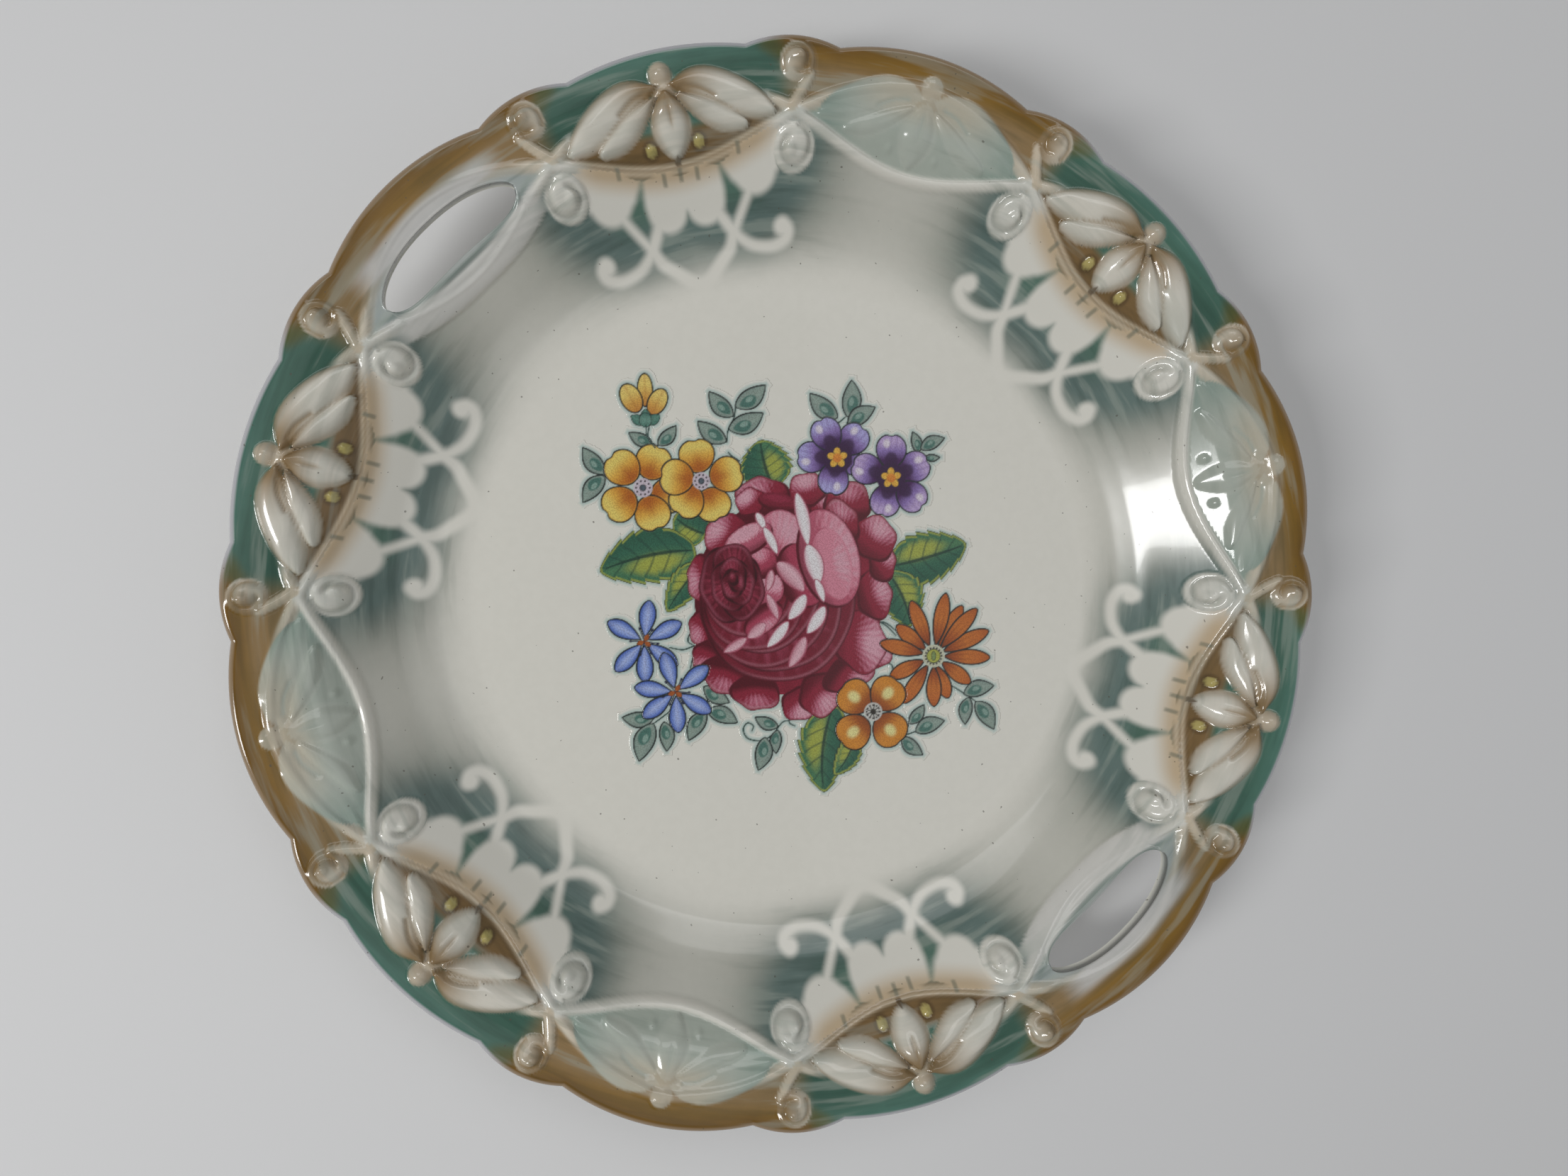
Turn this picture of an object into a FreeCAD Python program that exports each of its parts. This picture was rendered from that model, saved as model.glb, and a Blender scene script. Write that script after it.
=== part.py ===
"""Moulded china serving plate with two pierced handles and an enamel bouquet print.

The plate is one porcelain casting: a flat well, a coved wall, a rim of twelve relief panels
with a lobed edge, two pierced handles and a foot ring.  The prints are thin enamel films
fired on the floor of the well.  The Z axis is the plate's axis, the foot stands on Z = 0,
and the handles lie on the X axis.
"""
import FreeCAD, Part
import math
import os
import Sketcher
from FreeCAD import Vector

SIZES = (
    ("crest_radius", 136.1, "rim edge at the middle of a border panel"),
    ("lily_radius", 134.8, "rim edge at the middle of a lily panel"),
    ("notch_radius", 133.6, "rim edge beside each small scroll"),
    ("scroll_radius", 135.4, "rim edge on each small scroll"),
    ("lily_half_angle", 9.5, "lily panel's lobe, from its middle to its notch"),
    ("border_half_angle", 10.5, "border panel's lobe, from its middle to its notch"),
    ("panel_angle", 30, "one relief panel"),
    ("panel_count", 12, "relief panels around the rim"),
    ("blank_margin", 1, "rim left outside the crest before the edge is cut"),
    ("overall_height", 35, "table to rim"),
    ("floor_height", 8, "table to the floor of the well"),
    ("base_height", 4, "table to the underside of the well"),
    ("well_radius", 82, "flat floor of the well"),
    ("cove_radius", 26, "cove between the well and the wall"),
    ("cove_end_radius", 98, "top of the cove"),
    ("cove_end_height", 13.5, "top of the cove"),
    ("shoulder_radius", 117, "top of the sloping wall"),
    ("shoulder_height", 29, "top of the sloping wall"),
    ("gutter_radius", 128, "flatter band below the lip"),
    ("gutter_height", 31.6, "flatter band below the lip"),
    ("wall_thickness", 3.4, "wall, measured straight down from the rim"),
    ("wall_drop", 3.5, "underside of the wall below its shoulder"),
    ("foot_outer_radius", 88, "foot ring on the table"),
    ("foot_inner_radius", 83.5, "foot ring on the table"),
    ("foot_flare", 2, "foot ring's outward lean"),
    ("foot_round", 1.2, "foot ring's edges"),
    ("relief_height", 1.8, "relief above the wall"),
    ("relief_root", 1.2, "relief sunk in the wall"),
    ("relief_inner_radius", 103, "inner limit of the relief"),
    ("relief_outer_radius", 133, "outer limit of the relief"),
    ("crossing_radius", 117.7, "where the two ribbons cross, between panels"),
    ("ribbon_width", 2.8, "ribbon of the interlaced bands"),
    ("outer_ribbon_bend", 39.6, "bend of the ribbon over a panel"),
    ("inner_ribbon_bend", 101, "bend of the ribbon under a panel"),
    ("ribbon_overrun", 1.3, "ribbon's end, in degrees past the crossing"),
    ("outer_ribbon_drop", 1.6, "outer ribbon's end, nearer the axis than the crossing"),
    ("inner_ribbon_rise", 0.7, "inner ribbon's end, farther out than the crossing"),
    ("pearl_radius", 2.8, "pearl over each lily"),
    ("pearl_place", 128, "axis to the pearl"),
    ("petal_tip_place", 111.8, "axis to the tip of the middle petal"),
    ("petal_top_place", 124.6, "axis to the top of the middle petal"),
    ("petal_bend", 7.6, "sides of the middle petal"),
    ("wing_bend", 19, "sides of the drooping petals"),
    ("volute_radius", 4.6, "inner volute at each crossing"),
    ("volute_place", 110, "axis to the inner volute"),
    ("curl_radius", 3.6, "outer curl at each crossing"),
    ("curl_place", 128.6, "axis to the outer curl"),
    ("strut_bend", 20, "sides of the strut between the curl and the volute"),
    ("field_outer_bend", 30, "outer side of the plain field in a handle's panel"),
    ("wing_top_angle", 3, "drooping petal's top, from the panel's middle"),
    ("wing_tip_angle", 10.4, "drooping petal's tip, from the panel's middle"),
    ("slot_inner_place", 114.5, "axis to the finger slot's straight edge"),
    ("slot_end_place", 119, "axis to the finger slot's ends"),
    ("slot_flat", 35, "length of the slot's straight edge"),
    ("slot_length", 41.6, "finger slot along the rim"),
    ("slot_bend", 40.8, "finger slot's outer edge"),
    ("slot_end_bend", 3, "finger slot's ends"),
    ("print_thickness", 0.1, "enamel film of the prints"),
    ("bouquet_turn", 45, "bouquet turned from the handle line"),
    ("leaf_bend", 0.7, "leaf's sides, as a multiple of its length"),
    ("primrose_reach", 10.2, "flower's centre to its petal ends"),
    ("primrose_petal", 4.1, "radius of a round petal"),
    ("violet_reach", 9.6, "flower's centre to its petal ends"),
    ("violet_petal", 3.9, "radius of a round petal"),
    ("buttercup_reach", 9.6, "flower's centre to its petal ends"),
    ("buttercup_petal", 4.3, "radius of a round petal"),
    ("star_reach", 10, "flower's centre to its petal tips"),
    ("star_petal_bend", 7.4, "sides of a narrow petal"),
    ("daisy_reach", 15, "flower's centre to its petal tips"),
    ("daisy_petal_bend", 13, "sides of a narrow petal"),
    ("eye_radius", 3, "eye of a flower"),
)

PLATE_TALL = "2 * Sizes.overall_height"

doc = FreeCAD.newDocument("serving_plate")


def fill_sheet():
    """Writes the driving dimensions, one alias to a row."""
    sheet = doc.addObject("Spreadsheet::Sheet", "Sizes")
    for row, (alias, size, meaning) in enumerate(SIZES, start=1):
        sheet.set(f"A{row}", str(size))
        sheet.setAlias(f"A{row}", alias)
        sheet.set(f"B{row}", meaning)
    doc.recompute()
    return sheet


sheet = fill_sheet()


def value(expression):
    """The number that an expression gives now."""
    result = sheet.evalExpression(str(expression).replace("Sizes.", ""))
    return float(getattr(result, "Value", result))


def bind(item, name, expression):
    """Ties a property, or a sketch's dimension, to an expression of the sheet's cells."""
    if "Sizes." in str(expression):
        item.setExpression(name, expression)


def polar(radius, angle):
    """Expressions for a point at a radius and an angle in degrees."""
    return f"{radius} * cos({angle})", f"{radius} * sin({angle})"


# Bodies, sketches and features


def new_body(label):
    body = doc.addObject("PartDesign::Body", label)
    body.Label = label
    return body


def new_sketch(body, name, plane="XY_Plane"):
    """A sketch on one of the body's own origin planes."""
    sketch = body.newObject("Sketcher::SketchObject", name)
    support = [item for item in body.Origin.OriginFeatures if item.Role == plane][0]
    sketch.AttachmentSupport = [(support, "")]
    sketch.MapMode = "FlatFace"
    return sketch


def dimension(sketch, kind, *where, size):
    """Adds one dimension and ties it to its expression."""
    index = sketch.addConstraint(Sketcher.Constraint(kind, *where, value(size)))
    bind(sketch, f"Constraints[{index}]", size)


def pin(sketch, element, position, place):
    """Holds a point at its place; a zero coordinate is held by the axis itself."""
    for kind, axis, coordinate in (("DistanceX", -2, place[0]), ("DistanceY", -1, place[1])):
        if abs(value(coordinate)) < 1e-9:
            sketch.addConstraint(Sketcher.Constraint("PointOnObject", element, position, axis))
        else:
            dimension(sketch, kind, element, position, size=coordinate)


def bent_edge(start, end, radius, side):
    """The minor arc between two points; side is +1 when it bows to the right of the way."""
    middle = (start + end) / 2
    half = (end - start).Length / 2
    along = (end - start) / (2 * half)
    rise = math.sqrt(max(radius * radius - half * half, 0.0))
    centre = middle + Vector(-along.y, along.x) * rise * side
    circle = Part.Circle(centre, Vector(0, 0, 1), radius)
    first, last = (start, end) if side > 0 else (end, start)
    angles = [math.atan2(p.y - centre.y, p.x - centre.x) for p in (first, last)]
    return Part.ArcOfCircle(circle, angles[0], angles[1])


def loop(sketch, corners):
    """Closes a loop through its corners.

    A corner is (place, bend, side): the edge that leaves it is straight when bend is None,
    and otherwise an arc of that radius, bowing right (+1) or left (-1) of the way.
    """
    points = [Vector(value(place[0]), value(place[1])) for place, bend, side in corners]
    ends = []
    for index, (place, bend, side) in enumerate(corners):
        start = points[index]
        end = points[(index + 1) % len(points)]
        if bend is None:
            element = sketch.addGeometry(Part.LineSegment(start, end))
            ends.append((element, 1, 2))
            continue
        element = sketch.addGeometry(bent_edge(start, end, value(bend), side))
        ends.append((element, 1, 2) if side > 0 else (element, 2, 1))
        dimension(sketch, "Radius", element, size=bend)
    for index, (element, first, last) in enumerate(ends):
        following, its_first, _ = ends[(index + 1) % len(ends)]
        sketch.addConstraint(Sketcher.Constraint("Coincident", element, last, following, its_first))
        pin(sketch, element, first, corners[index][0])


def disc(sketch, place, radius):
    """A circle at its place."""
    centre = Vector(value(place[0]), value(place[1]))
    element = sketch.addGeometry(Part.Circle(centre, Vector(0, 0, 1), value(radius)))
    dimension(sketch, "Radius", element, size=radius)
    pin(sketch, element, 3, place)


def lens(sketch, start, end, bend):
    """A pointed oval between two points."""
    loop(sketch, ((start, bend, 1), (end, bend, 1)))


def pad(body, sketch, name, length):
    feature = body.newObject("PartDesign::Pad", name)
    feature.Profile = sketch
    feature.Length = value(length)
    bind(feature, "Length", length)
    doc.recompute()
    return feature


def pocket(body, sketch, name):
    """Cuts the sketch's outline through everything above it."""
    before = body.Shape.Volume
    feature = body.newObject("PartDesign::Pocket", name)
    feature.Profile = sketch
    feature.Type = "Length"
    feature.Reversed = True
    feature.Length = value(PLATE_TALL)
    bind(feature, "Length", PLATE_TALL)
    doc.recompute()
    if feature.Shape.Volume >= before:
        raise RuntimeError(f"{name} cuts nothing")
    return feature


def repeat(body, features, name, count, angle=360):
    """Repeats features around the plate's or the flower's axis."""
    pattern = body.newObject("PartDesign::PolarPattern", name)
    pattern.Originals = features
    axis = [item for item in body.Origin.OriginFeatures if item.Role == "Z_Axis"][0]
    pattern.Axis = (axis, [""])
    pattern.Angle = angle
    pattern.Occurrences = int(value(count))
    bind(pattern, "Occurrences", count)
    body.Tip = pattern
    doc.recompute()
    return pattern


# The porcelain casting


def wall_top(rise):
    """Corners of the wall's upper face from the cove to the blank's edge, lifted by rise."""
    slope = "(Sizes.shoulder_height - Sizes.cove_end_height)"
    slope += " / (Sizes.shoulder_radius - Sizes.cove_end_radius)"
    start = f"Sizes.cove_end_height + {slope} * (Sizes.relief_inner_radius - Sizes.cove_end_radius)"
    flare = "(Sizes.overall_height - Sizes.gutter_height) / (Sizes.crest_radius - Sizes.gutter_radius)"
    finish = f"Sizes.gutter_height + {flare} * (Sizes.relief_outer_radius - Sizes.gutter_radius)"
    return (
        ("Sizes.relief_inner_radius", f"{start} + {rise}"),
        ("Sizes.shoulder_radius", f"Sizes.shoulder_height + {rise}"),
        ("Sizes.gutter_radius", f"Sizes.gutter_height + {rise}"),
        ("Sizes.relief_outer_radius", f"{finish} + {rise}"),
    )


def section_corners():
    """The plate's section, right of the axis, walked outward on top and back underneath."""
    edge = "Sizes.crest_radius + Sizes.blank_margin"
    flare = "(Sizes.overall_height - Sizes.gutter_height) / (Sizes.crest_radius - Sizes.gutter_radius)"
    lip = f"Sizes.overall_height + {flare} * Sizes.blank_margin"
    drop = "Sizes.wall_thickness"
    return (
        (("0", "Sizes.base_height"), None, 0),
        (("0", "Sizes.floor_height"), None, 0),
        (("Sizes.well_radius", "Sizes.floor_height"), "Sizes.cove_radius", 1),
        (("Sizes.cove_end_radius", "Sizes.cove_end_height"), None, 0),
        (("Sizes.shoulder_radius", "Sizes.shoulder_height"), None, 0),
        (("Sizes.gutter_radius", "Sizes.gutter_height"), None, 0),
        ((edge, lip), None, 0),
        ((edge, f"{lip} - {drop}"), None, 0),
        (("Sizes.gutter_radius", f"Sizes.gutter_height - {drop}"), None, 0),
        (("Sizes.shoulder_radius + 2", f"Sizes.shoulder_height - {drop}"), None, 0),
        (("Sizes.cove_end_radius + 2", "Sizes.cove_end_height - Sizes.wall_drop"), None, 0),
        (("Sizes.foot_outer_radius + Sizes.foot_flare", "Sizes.base_height + 1"), None, 0),
        (("Sizes.foot_outer_radius", "0"), None, 0),
        (("Sizes.foot_inner_radius", "0"), None, 0),
        (("Sizes.foot_inner_radius - Sizes.foot_flare / 2", "Sizes.base_height"), None, 0),
    )


def revolve(body, sketch, name):
    feature = body.newObject("PartDesign::Revolution", name)
    feature.Profile = sketch
    feature.ReferenceAxis = (sketch, ["V_Axis"])
    feature.Angle = 360
    doc.recompute()
    return feature


def edges_where(shape, wanted):
    """Names of the edges whose ends all meet a condition."""
    names = []
    for index, edge in enumerate(shape.Edges, start=1):
        if all(wanted(vertex.Point) for vertex in edge.Vertexes):
            names.append(f"Edge{index}")
    return names


def round_edges(body, base, name, names, radius):
    feature = body.newObject("PartDesign::Fillet", name)
    feature.Base = (base, names)
    feature.Radius = value(radius)
    bind(feature, "Radius", radius)
    doc.recompute()
    return feature


def lobe_bend(crest, half_angle):
    """Radius of the arc from notch to notch over a crest."""
    half = f"(Sizes.notch_radius * sin({half_angle}))"
    rise = f"({crest} - Sizes.notch_radius * cos({half_angle}))"
    return f"({half}^2 + {rise}^2) / (2 * {rise})"


def rim_cutter(body):
    """Everything outside the lobed edge, over one lily panel and one border panel."""
    sketch = new_sketch(body, "lobed_edge")
    far = "(Sizes.crest_radius + 4 * Sizes.blank_margin)"
    lily_middle = "Sizes.panel_angle"
    border_middle = "2 * Sizes.panel_angle"
    start = "(0.5 * Sizes.panel_angle)"
    finish = "(2.5 * Sizes.panel_angle)"
    lily = lobe_bend("Sizes.lily_radius", "Sizes.lily_half_angle")
    border = lobe_bend("Sizes.crest_radius", "Sizes.border_half_angle")
    scroll = lobe_bend("Sizes.scroll_radius", "(Sizes.panel_angle / 6)")
    loop(sketch, (
        (polar("Sizes.scroll_radius", start), scroll, 1),
        (polar("Sizes.notch_radius", f"({lily_middle} - Sizes.lily_half_angle)"), lily, 1),
        (polar("Sizes.notch_radius", f"({lily_middle} + Sizes.lily_half_angle)"), scroll, 1),
        (polar("Sizes.notch_radius", f"({border_middle} - Sizes.border_half_angle)"), border, 1),
        (polar("Sizes.notch_radius", f"({border_middle} + Sizes.border_half_angle)"), scroll, 1),
        (polar("Sizes.scroll_radius", finish), None, 0),
        (polar(far, finish), far, -1),
        (polar(far, start), None, 0),
    ))
    return pocket(body, sketch, "edge_cut")


def slot_outline(sketch):
    """The finger slot of the handle on +X: a straight inner edge and a bowed outer one."""
    flat = "Sizes.slot_flat / 2"
    half = "Sizes.slot_length / 2"
    loop(sketch, (
        (("Sizes.slot_inner_place", f"{flat}"), None, 0),
        (("Sizes.slot_inner_place", f"-{flat}"), "Sizes.slot_end_bend", 1),
        (("Sizes.slot_end_place", f"-{half}"), "Sizes.slot_bend", 1),
        (("Sizes.slot_end_place", f"{half}"), "Sizes.slot_end_bend", 1),
    ))


def dish():
    """The turned plate with its lobed edge, foot ring and finger slots, still without relief."""
    body = new_body("dish")
    section = new_sketch(body, "section", "XZ_Plane")
    loop(section, section_corners())
    turned = revolve(body, section, "turned")
    on_table = edges_where(turned.Shape, lambda point: abs(point.z) < 1e-6)
    round_edges(body, turned, "foot_edges", on_table, "Sizes.foot_round")
    cut = rim_cutter(body)
    repeat(body, [cut], "edge_cuts", "Sizes.panel_count / 2")
    return body


def ribbon(sketch, bend, end_drop):
    """One ribbon over the panel on +X, run on past the crossings at both of its ends.

    The ends stand end_drop nearer the axis than the crossing, or farther when it is negative.
    """
    reach = "(Sizes.panel_angle / 2 + Sizes.ribbon_overrun)"
    middle = f"(Sizes.crossing_radius - {end_drop})"
    inner = f"({middle} - Sizes.ribbon_width / 2)"
    outer = f"({middle} + Sizes.ribbon_width / 2)"
    loop(sketch, (
        (polar(inner, f"(-{reach})"), None, 0),
        (polar(outer, f"(-{reach})"), bend, 1),
        (polar(outer, reach), None, 0),
        (polar(inner, reach), bend, -1),
    ))


def handle_field(sketch):
    """The field between the ribbons of a handle's panel, which has no lily."""
    reach = "(Sizes.panel_angle * 0.44)"
    low = polar("Sizes.crossing_radius", f"(-{reach})")
    high = polar("Sizes.crossing_radius", reach)
    loop(sketch, ((low, "Sizes.field_outer_bend", 1), (high, "Sizes.inner_ribbon_bend", 1)))


def lily(sketch):
    """The lily of the panel on +X: a pearl, a middle petal and two drooping ones."""
    disc(sketch, ("Sizes.pearl_place", "0"), "Sizes.pearl_radius")
    lens(sketch, ("Sizes.petal_tip_place", "0"), ("Sizes.petal_top_place", "0"), "Sizes.petal_bend")
    for side in ("", "-"):
        top = polar("Sizes.petal_top_place", f"({side}Sizes.wing_top_angle)")
        corner = polar("Sizes.crossing_radius", f"({side}Sizes.wing_tip_angle)")
        lens(sketch, corner, top, "Sizes.wing_bend")


def relief_prisms():
    """Upright prisms with the relief's outline: lilies, ribbons, curls and volutes."""
    body = new_body("relief_prisms")
    flower = new_sketch(body, "lily")
    lily(flower)
    first = pad(body, flower, "lily_pad", PLATE_TALL)
    repeat(body, [first], "lilies", "Sizes.panel_count")
    field = new_sketch(body, "handle_field")
    handle_field(field)
    repeat(body, [pocket(body, field, "handle_clearing")], "handle_clearings", 2)
    over = new_sketch(body, "outer_ribbon")
    ribbon(over, "Sizes.outer_ribbon_bend", "Sizes.outer_ribbon_drop")
    under = new_sketch(body, "inner_ribbon")
    ribbon(under, "Sizes.inner_ribbon_bend", "(-Sizes.inner_ribbon_rise)")
    between = "(Sizes.panel_angle / 2)"
    volute = polar("Sizes.volute_place", between)
    curl = polar("Sizes.curl_place", between)
    scrolls = new_sketch(body, "scrolls")
    disc(scrolls, volute, "Sizes.volute_radius")
    disc(scrolls, curl, "Sizes.curl_radius")
    strut = new_sketch(body, "strut")
    lens(strut, volute, curl, "Sizes.strut_bend")
    pads = [pad(body, sketch, f"{sketch.Label}_pad", PLATE_TALL)
            for sketch in (over, under, scrolls, strut)]
    repeat(body, pads, "borders", "Sizes.panel_count")
    return body


def relief_blank():
    """A turned skin that follows the wall, as deep as the relief and its root."""
    body = new_body("relief_blank")
    sketch = new_sketch(body, "skin", "XZ_Plane")
    above = wall_top("Sizes.relief_height")
    below = wall_top("-Sizes.relief_root")
    loop(sketch, [(place, None, 0) for place in above + below[::-1]])
    revolve(body, sketch, "skin_turned")
    return body


def finger_slots():
    """Both handles' slots, as upright prisms."""
    body = new_body("finger_slots")
    sketch = new_sketch(body, "slot")
    slot_outline(sketch)
    repeat(body, [pad(body, sketch, "slot_pad", PLATE_TALL)], "slot_pads", 2)
    return body


def combine(kind, name, base, tool):
    """A Part boolean of two objects."""
    item = doc.addObject(kind, name)
    item.Base = base
    item.Tool = tool
    item.Label = name
    doc.recompute()
    return item


def porcelain_body():
    """The casting: the dish with its relief, pierced by the finger slots."""
    relief = combine("Part::Common", "relief", relief_blank(), relief_prisms())
    moulded = combine("Part::Fuse", "moulded_plate", dish(), relief)
    return combine("Part::Cut", "porcelain_body", moulded, finger_slots())


# The enamel prints, in the bouquet's own directions: x to its right and y to its top


def place_print(body, across, up, turn=0):
    """Sets a print on the well's floor, turned with the bouquet."""
    swing = "Sizes.bouquet_turn"
    body.setExpression("Placement.Base.x", f"{across} * cos({swing}) - {up} * sin({swing})")
    body.setExpression("Placement.Base.y", f"{across} * sin({swing}) + {up} * cos({swing})")
    body.setExpression("Placement.Base.z", "Sizes.floor_height")
    body.setExpression("Placement.Rotation.Angle", f"{swing} + {turn}")
    doc.recompute()
    return body


def round_petal(sketch, reach, radius):
    disc(sketch, (f"({reach} - {radius})", "0"), radius)


def narrow_petal(sketch, reach, bend):
    lens(sketch, ("0.3 * Sizes.eye_radius", "0"), (reach, "0"), bend)


def flower_print(label, petal, sizes, count, centre, turn):
    """A flower: petals around an eye.  Petal draws one petal on +X from its two sizes."""
    body = new_body(label)
    sketch = new_sketch(body, "petal")
    petal(sketch, *sizes)
    film = "Sizes.print_thickness"
    repeat(body, [pad(body, sketch, "petal_film", film)], "petals", count)
    eye = new_sketch(body, "eye")
    disc(eye, ("0", "0"), "Sizes.eye_radius")
    pad(body, eye, "eye_film", film)
    return place_print(body, *centre, turn)


def leaf_prints(label, leaves):
    """Separate leaves, each from its base to its tip."""
    body = new_body(label)
    sketch = new_sketch(body, "leaves")
    for base, tip in leaves:
        length = math.dist(base, tip)
        ends = [tuple(str(number) for number in end) for end in (base, tip)]
        lens(sketch, *ends, f"Sizes.leaf_bend * {length:.3f}")
    pad(body, sketch, "leaf_film", "Sizes.print_thickness")
    return place_print(body, 0, 0)


# Where one lobe of the rose's outline meets the next, walked anticlockwise from the right.
ROSE_NOTCHES = (
    (29.3, 3), (29.3, 11), (23, 19.5), (10.6, 26), (2, 29), (-10.8, 27.5), (-11.6, 20.4),
    (-19.5, 14.8), (-24.3, 11), (-23.5, 2.5), (-24.7, -6.6), (-22.3, -16.1), (-20.7, -22.5),
    (-12.4, -27.6), (0, -29.6), (7, -34), (15.4, -29.6), (19.8, -25.6), (27.7, -17.7), (23.7, -7),
)


def rose_print(label):
    """The rose, as wide as its petals, with one bowed edge to a petal."""
    body = new_body(label)
    sketch = new_sketch(body, "rose_outline")
    following = ROSE_NOTCHES[1:] + ROSE_NOTCHES[:1]
    corners = []
    for notch, after in zip(ROSE_NOTCHES, following):
        bend = f"Sizes.leaf_bend * {math.dist(notch, after):.3f}"
        corners.append(((str(notch[0]), str(notch[1])), bend, 1))
    loop(sketch, corners)
    pad(body, sketch, "rose_film", "Sizes.print_thickness")
    return place_print(body, 0, 0)


def bouquet():
    """Every print of the bouquet."""
    primrose = (round_petal, ("Sizes.primrose_reach", "Sizes.primrose_petal"), 5)
    violet = (round_petal, ("Sizes.violet_reach", "Sizes.violet_petal"), 5)
    buttercup = (round_petal, ("Sizes.buttercup_reach", "Sizes.buttercup_petal"), 4)
    star = (narrow_petal, ("Sizes.star_reach", "Sizes.star_petal_bend"), 6)
    daisy = (narrow_petal, ("Sizes.daisy_reach", "Sizes.daisy_petal_bend"), 12)
    return [
        rose_print("rose_print"),
        flower_print("primrose_left_print", *primrose, (-38.6, 27), 66),
        flower_print("primrose_right_print", *primrose, (-22, 29), 20),
        flower_print("violet_left_print", *violet, (14, 36), 100),
        flower_print("violet_right_print", *violet, (30, 30.3), 90),
        flower_print("buttercup_print", *buttercup, (24.8, -35), 45),
        flower_print("blue_star_upper_print", *star, (-37.4, -14), 30),
        flower_print("blue_star_lower_print", *star, (-28.8, -27), 45),
        flower_print("orange_daisy_print", *daisy, (42, -18), 15),
        leaf_prints("rose_leaf_prints", (
            ((-3.5, 31), (-6.5, 43.5)), ((-25.5, 11), (-48.5, 5.2)), ((-21.5, 16), (-28.3, 20.6)),
            ((-26.5, 5), (-31, -5.4)), ((31.5, 7), (49.7, 12.5)), ((30.5, 2), (35, -8)),
            ((12, -36.5), (11, -54.6)), ((19.2, -43.4), (17.4, -51)),
        )),
        leaf_prints("bud_print", (
            ((-37, 47), (-42.5, 54)), ((-36.5, 47.5), (-36.3, 56.5)), ((-36, 47), (-31.5, 53)),
            ((-36.6, 42), (-36.6, 46.5)),
        )),
        leaf_prints("primrose_sprig_prints", (
            ((-49.5, 30.8), (-53, 37)), ((-49.5, 30), (-53, 23.5)), ((-35.4, 38.3), (-41, 41.3)),
            ((-33.5, 38.5), (-29, 43.3)), ((-14, 46), (-20, 52.5)), ((-12.5, 47.5), (-5, 54.5)),
            ((-16.2, 39.5), (-23, 44.5)), ((-14.5, 42.5), (-5.8, 47)),
        )),
        leaf_prints("violet_sprig_prints", (
            ((12.5, 46.5), (7, 52)), ((16, 46.5), (18, 56.5)), ((17.5, 44.5), (24.3, 48.7)),
            ((35.5, 37.5), (34.5, 42.5)), ((37, 38), (43.4, 41)), ((38.5, 36), (42.4, 36)),
        )),
        leaf_prints("star_sprig_prints", (
            ((-35, -33.6), (-42.8, -33.4)), ((-35.2, -34.8), (-38.6, -45)),
            ((-32, -35), (-31.3, -42.5)), ((-21.3, -32.5), (-25.5, -40)),
            ((-20.8, -32), (-12.5, -35.4)), ((-21, -26), (-14.8, -29.7)),
        )),
        leaf_prints("curl_sprig_prints", (
            ((-1.8, -36.2), (-7.8, -34)), ((-1.6, -37.5), (-2, -44)), ((-4.5, -40), (-6.9, -48.2)),
        )),
        leaf_prints("daisy_sprig_prints", (
            ((50, -27.5), (58, -26.3)), ((51, -29.5), (50, -36.8)), ((53.8, -30), (58, -38)),
            ((34.6, -36.2), (38.6, -31.4)), ((36.5, -38.5), (44.2, -36.2)),
            ((32.9, -40.6), (38.2, -44.6)),
        )),
    ]


def check_and_write(parts):
    """Stops on any failed object, then writes one file for each sub-part."""
    for item in doc.Objects:
        if {"Invalid", "Error"} & set(item.State):
            raise RuntimeError(f"{item.Label} has failed")
    for part in parts:
        if part.Shape.isNull() or not part.Shape.isValid():
            raise RuntimeError(f"{part.Label} has no sound shape")
    os.makedirs("parts", exist_ok=True)
    for part in parts:
        part.Shape.exportStep(f"parts/{part.Label}.step")


def main():
    parts = [porcelain_body()] + bouquet()
    doc.recompute()
    check_and_write(parts)


main()
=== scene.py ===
"""China serving plate: glazed relief porcelain with airbrushed panels and an enamel bouquet.

The porcelain is one closed mesh, walked along the plate's section and swept round its axis.
The bouquet is painted on a fine grid over the well, and each print takes its own cells.
Lengths in this script are millimetres until a mesh is made.
"""

import math

import bpy
import numpy as np
from mathutils import Matrix, Vector


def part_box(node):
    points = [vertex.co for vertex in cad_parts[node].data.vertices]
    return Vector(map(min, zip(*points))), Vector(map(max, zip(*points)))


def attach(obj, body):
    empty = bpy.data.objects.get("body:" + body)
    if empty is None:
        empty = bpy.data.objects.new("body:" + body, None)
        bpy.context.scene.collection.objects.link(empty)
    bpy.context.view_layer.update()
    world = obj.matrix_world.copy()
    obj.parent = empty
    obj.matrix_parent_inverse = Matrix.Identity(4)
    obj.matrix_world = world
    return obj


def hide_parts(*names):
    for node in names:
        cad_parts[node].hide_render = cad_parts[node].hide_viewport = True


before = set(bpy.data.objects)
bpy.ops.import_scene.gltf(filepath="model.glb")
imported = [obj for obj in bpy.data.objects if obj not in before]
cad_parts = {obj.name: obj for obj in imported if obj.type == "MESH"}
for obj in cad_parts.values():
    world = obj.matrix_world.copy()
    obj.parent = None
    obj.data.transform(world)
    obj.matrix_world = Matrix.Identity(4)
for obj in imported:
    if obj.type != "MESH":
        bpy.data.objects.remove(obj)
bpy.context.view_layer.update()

MM = 0.001
TAU = 2 * math.pi

# Sizes shared with the CAD, and places on the rim.
FLOOR_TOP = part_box("rose_print")[0].z / MM
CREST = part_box("porcelain_body")[1].x / MM
WELL = 82.0
LIP_ROUND = 1.6
PANEL = math.radians(30)
RIBBON_MIDDLE = 118.5
RIBBON_SWING = 9.5

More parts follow.
